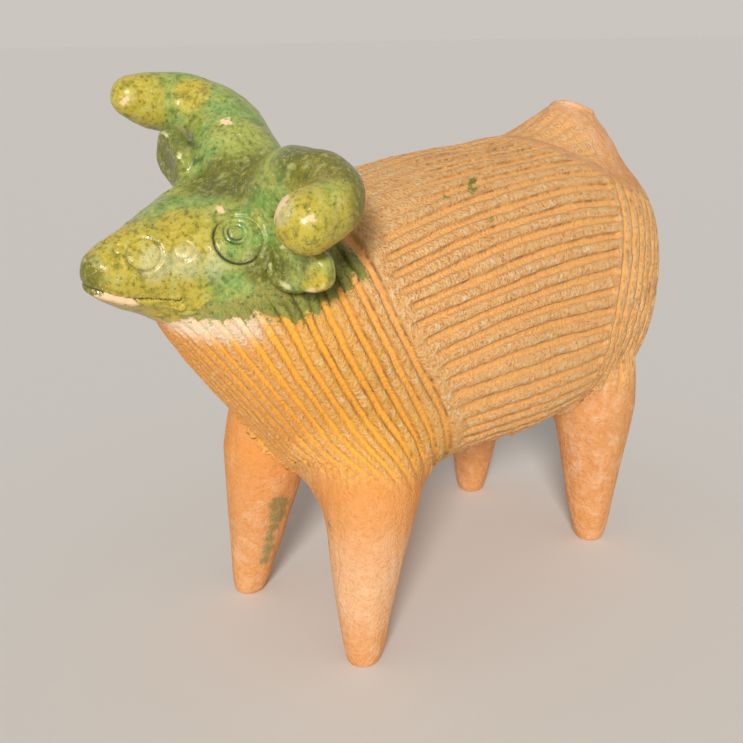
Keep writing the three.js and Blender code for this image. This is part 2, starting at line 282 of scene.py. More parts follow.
# How broad the thumbed joint of each leg is
LEG_JOINTS = {"front_left_leg": 18, "front_right_leg": 4, "rear_left_leg": 6, "rear_right_leg": 6}
MELD_ROUNDS = 4
MELD_REACH = 1.3
MELD_LOOK = 3
MELD_ROOM = (0.02, 1.3)
MELD_STEADY = 0.2
SEAM_SINK = 0.12
SEAM_DEPTH = 1.5
SEAM_REACH = 4
WALL_SHARE = 0.6
TOUCHING = 0.02
FAR = 90.0


def quadratic(start, middle, end, share):
    return start * (1 - share) ** 2 + middle * 2 * share * (1 - share) + end * share ** 2


def leg_profile(along):
    """Radius and height of a leg: the worn flat, the rounded foot, the cone and the closed top."""
    foot = FOOT_WIDTH / 2
    shoulder = LEG_TOP_WIDTH / 2
    waist = BELLY_HEIGHT + WALL
    if along < FLAT_SHARE:
        return mix(0, FOOT_FLAT / 2, along / FLAT_SHARE), 0
    if along < FOOT_SHARE:
        share = share_of(along, FLAT_SHARE, FOOT_SHARE)
        heel = foot - (shoulder - foot) / (waist - FOOT_ROUND) * FOOT_ROUND
        return quadratic(FOOT_FLAT / 2, heel, foot, share), quadratic(0, 0, FOOT_ROUND, share)
    if along < CONE_SHARE:
        share = share_of(along, FOOT_SHARE, CONE_SHARE)
        return mix(foot, shoulder, share), mix(FOOT_ROUND, waist, share)
    share = share_of(along, CONE_SHARE, 1)
    height = quadratic(waist, BARREL_MIDDLE, BARREL_MIDDLE, share)
    return quadratic(shoulder, shoulder, 0, share), height


def points_of(skin):
    return np.array([vert.co for vert in skin.verts])


def normals_of(skin):
    skin.normal_update()
    return np.array([vert.normal for vert in skin.verts])


def put(skin, points):
    for vert, spot in zip(skin.verts, points.tolist()):
        vert.co = spot


def gaps_to(tree, points, reach=FAR):
    """Signed distance from each point to a skin, and the way straight out of that skin."""
    gaps = np.full(len(points), float(reach))
    ways = np.zeros((len(points), 3))
    for i, point in enumerate(points.tolist()):
        spot, normal, _, gap = tree.find_nearest(point, reach)
        if spot is not None:
            off = Vector(point) - spot
            side = 1 if off.dot(normal) > 0 else -1
            gaps[i] = side * gap
            ways[i] = off / gap * side if gap > TOUCHING else normal
    return gaps, ways


def meld(skin, joints):
    """Draws a skin to its neighbours, given with the reach of each joint, in one thumbed curve.

    Both skins move to the same curve, and each dips under the other past the seam.
    """
    own_tree = BVHTree.FromBMesh(skin)
    points = points_of(skin)
    for tree, reach in joints:
        gaps, _ = gaps_to(tree, points, MELD_REACH * reach)
        near = np.flatnonzero((gaps < MELD_REACH * reach) & (gaps > -SEAM_REACH))
        spots = points[near]
        for _ in range(MELD_ROUNDS):
            own, own_way = gaps_to(own_tree, spots, MELD_LOOK * reach)
            gap, way = gaps_to(tree, spots, MELD_LOOK * reach)
            room = reach * np.clip(1 - (own_way * way).sum(axis=1), *MELD_ROOM)
            share = np.clip(1 - np.abs(own - gap) / room, 0, 1)
            level = np.minimum(own, gap) - share ** 2 * room / 4
            weight = np.where(own < gap, 1 - share / 2, share / 2)[:, None]
            out = own_way * weight + way * (1 - weight)
            out /= np.maximum(MELD_STEADY, np.linalg.norm(out, axis=1))[:, None]
            spots = spots - out * level[:, None]
        past = np.maximum(0, own - gap)
        spots = spots - out * np.minimum(SEAM_DEPTH, SEAM_SINK * past ** 2)[:, None]
        points[near] = spots
    put(skin, points)


def press_into_wall(skin):
    """Presses what lies deep under the barrel's skin back into its wall, so that the hollow stays clear."""
    points = points_of(skin)
    gaps, ways = gaps_to(barrel_tree, points)
    put(skin, points + ways * np.maximum(0, -WALL_SHARE * WALL - gaps)[:, None])


def leg_place(side, inset, foot_y, inward, back):
    def place(around, along):
        radius, height = leg_profile(along)
        turn = -TURN * around
        x = side * (BARREL_WIDTH / 2 - inset) - side * inward / BELLY_HEIGHT * height
        y = foot_y + back / BELLY_HEIGHT * height
        return Vector((x + radius * math.cos(turn), y + radius * math.sin(turn), height))

    return place


front_foot_y = FRONT_FOOT_SET_BACK - CHEST_REACH
rear_foot_y = RUMP_REACH - REAR_FOOT_SET_BACK
leg_pairs = {
    "front": (FRONT_FOOT_INSET, front_foot_y, FRONT_LEG_LEAN, FRONT_LEG_RAKE),
    "rear": (REAR_FOOT_INSET, rear_foot_y, REAR_LEG_LEAN, REAR_LEG_RAKE),
}
legs = {}
leg_trees = {}
for end, stance in leg_pairs.items():
    for hand, side in (("left", 1), ("right", -1)):
        name = f"{end}_{hand}_leg"
        legs[name] = formed(LEG_COLUMNS, LEG_ROWS, leg_place(side, *stance))
        leg_trees[name] = BVHTree.FromBMesh(legs[name])
        meld(legs[name], [(barrel_tree, LEG_JOINTS[name])])
        press_into_wall(legs[name])

# Filler spout: a hollow stub on the rump that passes for a tail, open at its top.
# It is pinched from the same clay, set over a hole in the barrel and thumbed out into its skin.
SPOUT_STATION_SHARE = 0.8
SPOUT_TILT_ANGLE = 22
SPOUT_BASE = 40
SPOUT_MOUTH = 14
SPOUT_HEIGHT = 13
SPOUT_WALL = 3.2
SPOUT_FLARE = 0.3
SPOUT_LAP = 4
SPOUT_SINK = 0.35
SPOUT_SINK_LEAD = 0.5
SPOUT_LUMP = 0.8
SPOUT_LUMP_SIZE = 9
SPOUT_LUMP_RISE = (-2, 6)
SPOUT_DROOP = 0.5
SPOUT_SHIFT = 1.5
SPOUT_FRONT = (-0.3, 1)
SPOUT_COLUMNS = 150
SPOUT_ROWS = 150
# Shares of the spout's rows at which its cone, its lip and its bore end
SPOUT_CONE_SHARE = 0.56
SPOUT_LIP_SHARE = 0.72
SPOUT_BORE_SHARE = 0.86
HIGH_OVER = 40
spout_to_maker = Matrix.Translation(barrel_points(TOP, SPOUT_STATION_SHARE))
spout_to_maker = spout_to_maker @ Matrix.Rotation(-math.radians(SPOUT_TILT_ANGLE), 4, "X")
maker_to_spout = spout_to_maker.inverted()
spout_up = spout_to_maker.col[2].xyz
spout_lip = SPOUT_MOUTH / 2
spout_bore = spout_lip - SPOUT_WALL
spout_spread = SPOUT_BASE / 2 - spout_lip
spout_foot = spout_lip + spout_spread * (1 + SPOUT_FLARE)
spout_edge = spout_foot + SPOUT_LAP


def skin_under(x, y):
    """Height of the barrel's skin in the spout's frame."""
    high = spout_to_maker @ Vector((x, y, HIGH_OVER))
    hit, _, _, _ = barrel_tree.ray_cast(high, -spout_up)
    return (maker_to_spout @ hit).z


def spout_rise(radius):
    """1 at the lip and 0 at the foot: a straight cone that is thumbed out at its foot."""
    share = (radius - spout_lip) / spout_spread
    if share < 1 - SPOUT_FLARE:
        return 1 - share
    return max(0, 1 + SPOUT_FLARE - share) ** 2 / (4 * SPOUT_FLARE)


def spout_place(around, along):
    """Up the cone, over the lip, down the bore and back out under the barrel's skin.

    The lip droops in front, towards the head, where the thumb drew the clay up from the back.
    """
    turn = -TURN * around
    rim = SPOUT_WALL / 2
    front = float(ease(-math.sin(turn), *SPOUT_FRONT))
    lip = SPOUT_HEIGHT - rim - SPOUT_DROOP * front
    back_out = share_of(along, SPOUT_BORE_SHARE, 1)
    height = None
    if along < SPOUT_CONE_SHARE:
        radius = mix(spout_edge, spout_lip, along / SPOUT_CONE_SHARE)
    elif along < SPOUT_LIP_SHARE:
        bend = math.pi * share_of(along, SPOUT_CONE_SHARE, SPOUT_LIP_SHARE)
        radius = spout_lip - rim + rim * math.cos(bend)
        height = lip + rim * math.sin(bend)
    elif along < SPOUT_BORE_SHARE:
        radius = spout_bore
        height = mix(lip, -WALL, share_of(along, SPOUT_LIP_SHARE, SPOUT_BORE_SHARE))
    else:
        radius = mix(spout_bore, spout_edge, back_out)
    x = radius * math.cos(turn)
    y = radius * math.sin(turn)
    if height is None:
        skin = skin_under(x, y)
        rise = spout_rise(radius)
        sink = SPOUT_SINK * float(ease(radius, spout_foot - SPOUT_SINK_LEAD, spout_edge))
        height = mix(skin, lip, rise) - sink
        y += SPOUT_SHIFT * front * rise * (1 - rise) * 2
        if along > SPOUT_BORE_SHARE:
            height = skin + mix(-WALL, -SPOUT_SINK, back_out)
    spot = spout_to_maker @ Vector((x, y, height))
    lump = noise.noise_vector(spot / SPOUT_LUMP_SIZE) * SPOUT_LUMP
    return spot + lump * float(ease(height, *SPOUT_LUMP_RISE))


spout = formed(SPOUT_COLUMNS, SPOUT_ROWS, spout_place)

# Head: a solid pear-shaped lump, cocked to one side and set on the chest, with a blunt muzzle.
# The horns, two tapered rolls that curl forward, and the ears, two thick cupped lobes, are pressed
# on while the clay is wet and thumbed smooth, so all five are first shaped as one lump, in the
# head's own frame: X to its left, Y back from the brow, Z up.
HEAD_LENGTH = 65
SKULL_WIDTH = 46
SKULL_HEIGHT = 30
MUZZLE_WIDTH = 21
MUZZLE_HEIGHT = 20
MUZZLE_LENGTH = 45
NOSE_LENGTH = 7
CHIN_RATIO = 1.3
JAW_RATIO = 1.5
NOSE_POWER = 2.15
NECK_POWER = 2.7
HEAD_SET_BACK = 25
HEAD_RISE = 18.5
HEAD_ROLL_ANGLE = 18
HEAD_PITCH_ANGLE = 3
HEAD_COLUMNS = 150
HEAD_ROWS = 100
NECK_JOINT = 9
# Points along the middle of each horn: out to the left, back, up, and the roll's half thickness there
HORN_PATHS = {
    "left_horn": [
        (5, 1, 8, 11), (11, 0, 17, 9.4), (18, -1, 21.6, 8.0),
        (25, -0.6, 23.8, 6.9), (31.4, -4.2, 23.4, 6.3), (32.4, -12.4, 21.2, 6.8),
    ],
    "right_horn": [
        (-4, 3, 8, 12.5), (-15, 5, 13.5, 10.6), (-26, 8, 17, 9.2),
        (-36, 4.5, 18.8, 8.0), (-40, -2.5, 19.6, 7.2), (-41.5, -9, 20.8, 5.2),
    ],
}
HORN_BALLS = 56
BALL_ROUNDNESS = 3
HORN_JOINTS = (9, 6, 3)
EAR_LENGTH = 16.5
EAR_THICKNESS = 7.5
# Where the middle of each ear stands, out to the left, back and up, and how high the ear is
EAR_STANDS = {"left_ear": (28.8, -8.4, 8.2, 9.8), "right_ear": (-24.0, -6.2, 10.6, 11.8)}
EAR_RAISE_ANGLE = 10
EAR_SWEEP_ANGLE = -8
EAR_END_POWER = 2.8
EAR_CORNER_POWER = 0.7
EAR_CUP = 1.8
EAR_GRID = 60
CLAY_GRAIN = 0.5
HEAD_SMOOTHINGS = 5
JOINT_SMOOTHINGS = 30
# Size and height of the lumps that the fingers left
HEAD_LUMPS = {7: 0.35, 2.6: 0.13}
brow = Vector(barrel_points(TOP, 0)) + Vector((0, HEAD_SET_BACK, HEAD_RISE))
head_to_maker = Matrix.Translation(brow)
head_to_maker = head_to_maker @ Matrix.Rotation(math.radians(HEAD_PITCH_ANGLE), 4, "X")
head_to_maker = head_to_maker @ Matrix.Rotation(math.radians(HEAD_ROLL_ANGLE), 4, "Y")
maker_to_head = head_to_maker.inverted()


def closer_at_ends(share):
    return (1 - math.cos(math.pi * share)) / 2


def head_place(around, along):
    share = closer_at_ends(along)
    turn = -TURN * around - TOP
    skull = ease(share * HEAD_LENGTH, NOSE_LENGTH, MUZZLE_LENGTH)
    ends = rounded_ends(share, NOSE_POWER if share < 0.5 else NECK_POWER)
    half_width = mix(MUZZLE_WIDTH, SKULL_WIDTH, skull) / 2 * ends
    half_height = mix(MUZZLE_HEIGHT, SKULL_HEIGHT, skull) / 2 * ends
    depth = mix(CHIN_RATIO, JAW_RATIO, ease(share * HEAD_LENGTH, 0, MUZZLE_LENGTH / 2))
    upright = math.sin(turn) * (depth if math.sin(turn) < 0 else 1)
    y = mix(-MUZZLE_LENGTH, HEAD_LENGTH - MUZZLE_LENGTH, share)
    return Vector((half_width * math.cos(turn), y, half_height * upright))


def curve_point(points, share):
    """A point of a smooth curve through the points, with the share counted evenly from point to point."""
    ends = [points[0] * 2 - points[1], *points, points[-1] * 2 - points[-2]]
    spans = len(points) - 1
    index = min(int(share * spans), spans - 1)
    line = ends[index:index + 4]
    knots = [0.0]
    for first, second in zip(line, line[1:]):
        knots.append(knots[-1] + math.sqrt((second - first).length))
    at = mix(knots[1], knots[2], share * spans - index)
    for span in (1, 2):
        line = [line[i].lerp(line[i + 1], share_of(at, knots[i], knots[i + span])) for i in range(4 - span)]
    return line[0].lerp(line[1], share_of(at, knots[1], knots[2]))


def horn_balls(path):
    points = [Vector(point) for point in path]
    return [curve_point(points, i / HORN_BALLS) for i in range(HORN_BALLS + 1)]


def ear_place(x, y, z, ear_height):
    side = math.copysign(1, x)
    stand = Matrix.Translation((x, y, z))
    stand = stand @ Matrix.Rotation(-side * math.radians(EAR_SWEEP_ANGLE), 4, "Z")
    stand = stand @ Matrix.Rotation(-side * math.radians(EAR_RAISE_ANGLE), 4, "Y")

    def place(around, along):
        share = closer_at_ends(along)
        end = rounded_ends(share, EAR_END_POWER)
        turn = TURN * around
        x = (share - 0.5) * EAR_LENGTH
        y = EAR_THICKNESS / 2 * end * signed_power(math.cos(turn), EAR_CORNER_POWER)
        z = ear_height / 2 * end * signed_power(math.sin(turn), EAR_CORNER_POWER)
        if y < 0:
            y += EAR_CUP * max(0, 1 - (2 * share - 1) ** 2 - (2 * z / ear_height) ** 2)
        return stand @ Vector((x, y, z))

    return place


def meshed(name, skin):
    mesh = bpy.data.meshes.new(name)
    skin.to_mesh(mesh)
    skin.free()
    return mesh


def shown(name, data):
    thing = bpy.data.objects.new(name, data)
    bpy.context.scene.collection.objects.link(thing)
    return thing


def add_to(lump, skin):
    mesh = meshed("lump", skin)
    lump.from_mesh(mesh)
    bpy.data.meshes.remove(mesh)


def fused(lump, grain):
    """One sound skin round all the lumps that were pressed together."""
    mesh = meshed("lump", lump)
    blank = shown("lump", mesh)
    remesh = blank.modifiers.new("remesh", "REMESH")
    remesh.mode = "VOXEL"
    remesh.voxel_size = grain
    skin = bmesh.new()
    skin.from_object(blank, bpy.context.evaluated_depsgraph_get())
    bpy.data.objects.remove(blank)
    bpy.data.meshes.remove(mesh)
    bmesh.ops.recalc_face_normals(skin, faces=skin.faces)
    return skin


def smooth(skin, verts, times):
    ways = {"use_axis_x": True, "use_axis_y": True, "use_axis_z": True}
    for _ in range(times):
        bmesh.ops.smooth_vert(skin, verts=verts, factor=0.5, **ways)


def gaps_to_balls(points, balls):
    """Distance from each point to the nearest of the balls, each given as its middle and radius."""
    nearest = np.full(len(points), FAR)
    for x, y, z, radius in balls:
        nearest = np.minimum(nearest, np.linalg.norm(points - (x, y, z), axis=1) - radius)
    return nearest


horn_chains = {name: horn_balls(path) for name, path in HORN_PATHS.items()}
lump_forms = {"head": formed(HEAD_COLUMNS, HEAD_ROWS, head_place)}
for name, stand in EAR_STANDS.items():
    lump_forms[name] = formed(EAR_GRID, EAR_GRID, ear_place(*stand))
lump_trees = {name: BVHTree.FromBMesh(skin) for name, skin in lump_forms.items()}
lump = bmesh.new()
for skin in lump_forms.values():
    add_to(lump, skin)
for balls in horn_chains.values():
    for ball in balls:
        place = Matrix.Translation(ball.xyz)
        bmesh.ops.create_icosphere(lump, subdivisions=BALL_ROUNDNESS, radius=ball.w, matrix=place)
glazed = fused(lump, CLAY_GRAIN)
smooth(glazed, glazed.verts, HEAD_SMOOTHINGS)


def lump_gaps(points):
    """Signed distance from each point to each of the five lumps."""
    gaps = {name: gaps_to(tree, points)[0] for name, tree in lump_trees.items()}
    for name, balls in horn_chains.items():
        gaps[name] = gaps_to_balls(points, balls)
    return gaps


gaps = lump_gaps(points_of(glazed))
for reach in HORN_JOINTS:
    for name in horn_chains:
        near = np.flatnonzero(np.abs(gaps["head"]) + np.abs(gaps[name]) < reach)
        glazed.verts.ensure_lookup_table()
        smooth(glazed, [glazed.verts[i] for i in near], JOINT_SMOOTHINGS)

points = points_of(glazed)
lumps = sum(noise_at(points, size) * height for size, height in HEAD_LUMPS.items())
put(glazed, points + normals_of(glazed) * lumps[:, None])

# Stamps and cuts in the wet head: rings from the end of a hollow reed, each with a low raised rim, and
# a knife's line for the mouth with a rolled lip. Each ring on the left side has its middle, its radius,
# its depth, and how dark the glaze pools in it, most on the low side that faces the nose.
EYE_RINGS = [
    ((12.3, -14.5, 10.0), 1.8, 0.3, 0.75),
    ((12.3, -14.5, 10.0), 2.8, 0.3, 0.65),
    ((13.6, -14.6, 9.0), 5.6, 0.38, 0.9),
]
NOSTRIL_RINGS = [
    ((6.4, -34.0, 6.4), 3.7, 0.3, 0.5),
    ((2.6, -38.1, 7.1), 1.1, 0.3, 0.5),
    ((9.7, -26.2, 6.9), 2.0, 0.12, 0.15),
]
RINGS = EYE_RINGS + NOSTRIL_RINGS
RING_WIDTH = 0.36
RING_RIM = 0.9
RING_RIM_WIDTH = 0.5
RING_RIM_SHARE = 0.3
RING_FACING = 0.2
RING_MARGIN = 3
POOL_SIDE = (0, -0.75, -0.66)
POOL_FROM = -0.8
POOL_TO = 0.7
POOL_LEAST = 0.12
MOUTH = [(0.0, -45.0, -2.6), (4.0, -43.7, -2.8), (7.5, -37.0, -4.7), (11.6, -27.7, -4.3)]
MOUTH_STEPS = 60
MOUTH_WIDTH = 0.45
MOUTH_DEPTH = 0.8
MOUTH_DARK = 0.8
LIP_DROP = Vector((0, 0, 1.5))
LIP_SWELL = 0.45
LIP_WIDTH = 1.1
STAMP_ZONE = 9


def bell(value, width):
    return np.exp(-(value / width) ** 2)


def distance_to(points, spots):
    """Distance from each point to the nearest of the spots."""
    return gaps_to_balls(points, [(*spot, 0) for spot in spots])


stamp_places = [ring[0] for ring in RINGS] + MOUTH
stamp_places += [(-x, y, z) for x, y, z in stamp_places]
fine = distance_to(points_of(glazed), stamp_places) < STAMP_ZONE
glazed.verts.index_update()
fine_edges = [edge for edge in glazed.edges if all(fine[vert.index] for vert in edge.verts)]
bmesh.ops.subdivide_edges(glazed, edges=fine_edges, cuts=1, use_grid_fill=True)
points = points_of(glazed)
normals = normals_of(glazed)
glazed_tree = BVHTree.FromBMesh(glazed)
stamp = np.zeros(len(points))
swell = np.zeros(len(points))
ink = np.zeros(len(points))
for flip in (1, -1):
    for (x, y, z), radius, depth, dark in RINGS:
        spot, way, _, _ = glazed_tree.find_nearest(Vector((flip * x, y, z)))
        off = points - np.array(spot)
        flat = off - np.outer(off @ np.array(way), np.array(way))
        ring = np.linalg.norm(flat, axis=1) - radius
        facing = normals @ np.array(way) > RING_FACING
        facing = facing & (np.linalg.norm(off, axis=1) < 2 * radius + RING_MARGIN)
        line = bell(ring, RING_WIDTH) * facing
        low = ease(flat @ np.array(POOL_SIDE) / radius, POOL_FROM, POOL_TO)
        stamp = np.maximum(stamp, depth * line)
        ink = np.maximum(ink, dark * line * mix(POOL_LEAST, 1, low))
        swell = np.maximum(swell, RING_RIM_SHARE * depth * bell(ring - RING_RIM, RING_RIM_WIDTH) * facing)
    knife = [Vector((flip * x, y, z)) for x, y, z in MOUTH]
    cuts = [curve_point(knife, i / MOUTH_STEPS) for i in range(MOUTH_STEPS + 1)]
    cuts = [glazed_tree.find_nearest(cut)[0] for cut in cuts]
    line = bell(distance_to(points, cuts), MOUTH_WIDTH)
    stamp = np.maximum(stamp, MOUTH_DEPTH * line)
    ink = np.maximum(ink, MOUTH_DARK * line)
    lip = distance_to(points, [cut - LIP_DROP for cut in cuts])
    swell = np.maximum(swell, LIP_SWELL * bell(lip, LIP_WIDTH))
put(glazed, points + normals * (swell - stamp)[:, None])

# Glaze on the head: it runs off the edges, which it leaves pale, and pools dark in the hollows and in
# the stamps. Where the planter was knocked, it has chipped off to the bare clay. The warm places are
# olive yellow, where the iron in the clay shows through. Each spot has its middle and its reach.
WARM_SPOTS = [
    (2, -40, 0, 16), (7, -30, -7, 12), (6, -24, 7, 8), (32, -13, 21, 9), (27, -3, 27, 8),
    (36, -4, 23, 7), (-41, -8, 20, 9), (-31, 2, 24, 5), (13, -12, -12, 9), (36, -11, 6, 5),
]
DEEP_SPOTS = [
    (20, -2, 29, 9), (28, 1, 29, 8), (36, 2, 24, 8), (4, -3, 17, 9), (-4, -8, 13, 8),
    (22, -12, 5, 6), (0, -46, 0, 6), (-25, -8, 10, 8),
]
# Painted highlight: a pale sheen along the muzzle's side and on the near horn's tip, where the lamp's
# reflection would fall
SHEEN_SPOTS = [(8, -32, 4, 4), (10, -26, 4, 4), (12, -20, 3, 4), (31, -18, 24, 3)]
CHIPS = [
    (27.6, -17.3, 25.2, 2.3), (28.2, -17.8, 22.6, 1.8), (5.8, -14.5, 12.6, 0.8), (-15.4, 1.8, 21.4, 1.3),
    (-38.5, -12.5, 21.5, 0.9), (3.6, -43.4, -4.6, 1.2), (5.2, -41.8, -5.0, 1.6), (6.6, -39.8, -5.6, 1.6),
    (7.8, -37.4, -6.0, 1.3), (35.5, -11, 3.0, 1.0), (36.7, -15.3, 24.6, 0.7),
]
ZONE_FADE = (0.4, 1.5)
HOLLOW_ROUNDS = 14
HOLLOW_DEPTH = 0.12
PROUD_EDGE = 0.16
STAMP_DRAINS = 3
STAMP_DRAINED = 0.85
MARK_REACH = 5


def hollows(skin, points, normals):
    """How far each point lies under the mean of the points around it, below 0 where the skin is proud."""
    skin.verts.index_update()
    edges = np.array([[vert.index for vert in edge.verts] for edge in skin.edges])
    count = np.bincount(edges.ravel(), minlength=len(points))[:, None]
    mean = points
    for _ in range(HOLLOW_ROUNDS):
        total = np.zeros_like(points)
        np.add.at(total, edges[:, 0], mean[edges[:, 1]])
        np.add.at(total, edges[:, 1], mean[edges[:, 0]])
        mean = (mean + total / count) / 2
    return ((mean - points) * normals).sum(axis=1)


def zone(points, spots):
    """1 in the middle of any of the spots, fading to 0 a little past its reach."""
    shares = [np.linalg.norm(points - spot[:3], axis=1) / spot[3] for spot in spots]
    return 1 - ease(np.min(shares, axis=0), *ZONE_FADE)


def mark(points, spots, tree, gaps=FAR):
    """A mark's strength: a half at its edge, 1 well inside it and 0 well outside.

    Its edge lies where the gaps are 0, and round each spot close by, once that is moved to the skin.
    """
    balls = []
    for x, y, z, reach in spots:
        middle, _, _, _ = tree.find_nearest(Vector((x, y, z)), MARK_REACH)
        if middle is not None:
            balls.append((*middle, reach))
    gaps = np.minimum(gaps, gaps_to_balls(points, balls))
    return np.clip(0.5 - gaps / (2 * MARK_REACH), 0, 1)


def note(skin, **marks):
    """Keeps each mark on the skin's points, for its material to read."""
    for name, values in marks.items():
        layer = skin.verts.layers.float.new(name)
        for vert, value in zip(skin.verts, values.tolist()):
            vert[layer] = value


points = points_of(glazed)
sunken = hollows(glazed, points, normals_of(glazed))
drained = 1 - np.clip(STAMP_DRAINS * stamp, 0, STAMP_DRAINED)
note(
    glazed,
    stamp=ink,
    pool=np.clip(sunken / HOLLOW_DEPTH, 0, 1) * drained,
    worn=np.clip((-sunken - PROUD_EDGE) / HOLLOW_DEPTH, 0, 1),
    warm=zone(points, WARM_SPOTS),
    deep=zone(points, DEEP_SPOTS),
    # Painted highlight: where the pale sheen is painted on
    bloom=zone(points, SHEEN_SPOTS),
    bare=mark(points, CHIPS, glazed_tree),
)

# The lump is set on the chest and thumbed on to the barrel
seam_gaps = lump_gaps(points)
bmesh.ops.transform(glazed, matrix=head_to_maker, verts=glazed.verts)
head_tree = BVHTree.FromBMesh(glazed)
meld(glazed, [(barrel_tree, NECK_JOINT)])

# Combed skin: the barrel joined to its neighbours and scored all over with a coarse comb.
# Ridges stand rough and crumbled between smooth grooves. The belly is plain, and the nape and the
# places next to the spout and the head are only half combed.
SHOULDER_DEPTH = 0.95
FLANK_DEPTH = 0.62
RUMP_DEPTH = 0.55
# The comb bit less at the chest, which was wiped with a wet hand afterwards
CHEST_DEPTH = 0.75
CHEST_DEEPENS = (15, 40)
# The dark line of painted shade along the groove edges is fainter at the chest, and grows to full over
# these lengths
CHEST_SHADE_LINE = 0.3
CHEST_SHADE_LINE_GROWS = (18, 42)
CHEST_GRIT = 0.45
CHEST_ROUGHENS = (14, 42)
# Across a stroke, as shares of it from the groove's middle: the groove's wall and its sharp edge, where a
# dark line of painted shade runs, fainter on the flank's lower edge, whose wall faces up to the lamp
GROOVE_FROM = 0.16
GROOVE_TO = 0.27
GROOVE_EDGE = 0.215
SHADE_LINE_WIDTH = 0.05
LOWER_SHADE_LINE = 0.35
BOWL_MIDDLE = 1.12
BOWL_SIDE = 0.8
# Uneven teeth and an uneven hand, each as the size of its waves and its strength
TOOTH_WOBBLE = {4: 0.035, 1.8: 0.025}
WIDTH_WAVES = (9, 0.26)
STROKE_WAVES = (0.7, 0.35)
PRESS_WAVES = (15, 0.3)
# Each stroke has a place of its own in the noise, which moves on by 1 in this length of it
STROKE_CHANGE = 60
# How unevenly the strokes of the flank start behind the shoulder, and how soon each is full
FLANK_SPREAD = 2.2
FLANK_START = 1.4
# Ridges and the crumbs on them, in patches
RIDGE_SWELL = 0.2
RIDGE_CRUMBS = 0.34
CRUMB_SIZES = (2.2, 4.5)
CRUMB_PATCH = 14
CRUMB_PATCH_EDGE = (-0.25, 0.35)
CRUMB_LEAST = 0.35
# Lines that a wet thumb dragged down the plain clay, above the feet
DRAG_SIZE = (2.2, 2.2, 16)
DRAG_HEIGHT = 0.2
DRAG_ABOVE = (1, 6)
# Where the barrel is combed, in lengths round it from the keel and along it from the chest
BELLY_EDGE = (19, 27)
CHEST_PLAIN = (36, 50)
BY_SPOUT = (1, 7)
BY_HEAD = (0.5, 5)
HEAD_LOOK = 8
NAPE = Vector((0, -32, 122))
NAPE_WIDTH = 27
NAPE_LENGTH = 24
NAPE_ABOVE = 100
NAPE_EDGE = (0.75, 1.15)
NAPE_COMBED = 0.3
# The burr of clay that the comb pushed out at the far front leg and along the belly
BURR_HEIGHT = 1.5
BURR_SIZE = 2
LEG_BURR = (0.5, 3)
LEG_LOOK = 6
BELLY_LIP = 24
BELLY_LIP_WIDTH = 2.2
BELLY_LIP_STRENGTH = 0.5
BELLY_LIP_FROM = (35, 60)
# The clay is drawn up to the spout in front of it, and the barrel's skin dips under its foot
SPOUT_RAMP = 2.4
SPOUT_RAMP_AT = 23
SPOUT_RAMP_LENGTH = 11
SPOUT_BELOW = -20
UNDER_SPOUT = (-4, 0)
UNDER_SPOUT_SINK = 0.3
SPOUT_COMBED = 0.5
SPOUT_ROUGH = 0.6
SPOUT_COMB_LIP = (1, 4)
SPOUT_COMB_FRONT = (3, 10)
SPOUT_COMB_FOOT = (-2, 2)
# How high the combing ends on each leg, and how raggedly
COMB_ENDS = {"front_left_leg": 52, "front_right_leg": 75, "rear_left_leg": 55, "rear_right_leg": 60}
COMB_END_WAVES = (5, 3)
COMB_END_FADE = (-4, 8)
STATION_ROUNDS = 22
loose_points = points_of(barrel)
meld(barrel, [(tree, LEG_JOINTS[name]) for name, tree in leg_trees.items()])
meld(barrel, [(head_tree, NECK_JOINT)])


def waves(points, size, strength):
    return strength * noise_at(points, size)


def in_frame(points, matrix):
    return points @ np.array(matrix.to_3x3()).T + np.array(matrix.translation)


def from_spout(points):
    """Distance of each point from the spout's axis."""
    inside = in_frame(points, maker_to_spout)
    return np.where(inside[:, 2] > SPOUT_BELOW, np.hypot(inside[:, 0], inside[:, 1]), FAR)


def drawn_to_spout(points):
    """The points with the clay in front of the spout drawn up to it."""
    away = from_spout(points)
    front = np.clip(-in_frame(points, maker_to_spout)[:, 1] / np.maximum(away, 1), 0, 1) ** 2
    return points + np.outer(SPOUT_RAMP * front * bell(away - SPOUT_RAMP_AT, SPOUT_RAMP_LENGTH), spout_up)


def barrel_station(points):
    """Where points lie on the barrel: the turn round it, and the lengths along its side and round it."""
    low = np.zeros(len(points))
    high = np.ones(len(points))
    for _ in range(STATION_ROUNDS):
        share = (low + high) / 2
        y, z, lean, half_width, down, upward = barrel_section(share)
        ahead = (points[:, 1] - y) * np.cos(lean) + (points[:, 2] - z) * np.sin(lean) < 0
        high = np.where(ahead, share, high)
        low = np.where(ahead, low, share)
    upright = (points[:, 2] - z) * np.cos(lean) - (points[:, 1] - y) * np.sin(lean)
    height = np.where(upright < 0, down, upward)
    across = signed_power(points[:, 0] / np.maximum(1, half_width), SECTION_POWER / 2)
    turn = np.arctan2(signed_power(upright / height, SECTION_POWER / 2), across)
    turn = np.where(turn < -TOP, turn + TURN, turn)
    return turn, np.interp(share, side_shares, side_lengths), np.interp(turn, ring_turns, ring_lengths)


def stroke_lengths(points):
    """Where points lie among the strokes: the even lengths along the barrel and round it."""
    turn, length, round_length = barrel_station(points)
    along, around = stroke_shift(points, turn, length, round_length)
    return length - along, round_length - around


def kept(skin, name, lengths):
    """The even length of each point, from its place in the grid that the skin was formed from."""
    layer = skin.verts.layers.float[name]
    places = np.array([vert[layer] for vert in skin.verts]) * (len(lengths) - 1)
    return np.interp(places, range(len(lengths)), lengths)


def combed_part(length, round_length):
    """1 where the comb went, on the sides and all round the chest, and 0 on the belly."""
    return np.maximum(ease(round_length, *BELLY_EDGE), 1 - ease(length, *CHEST_PLAIN))


def chest_grit(length):
    return mix(CHEST_GRIT, 1, ease(length, *CHEST_ROUGHENS))


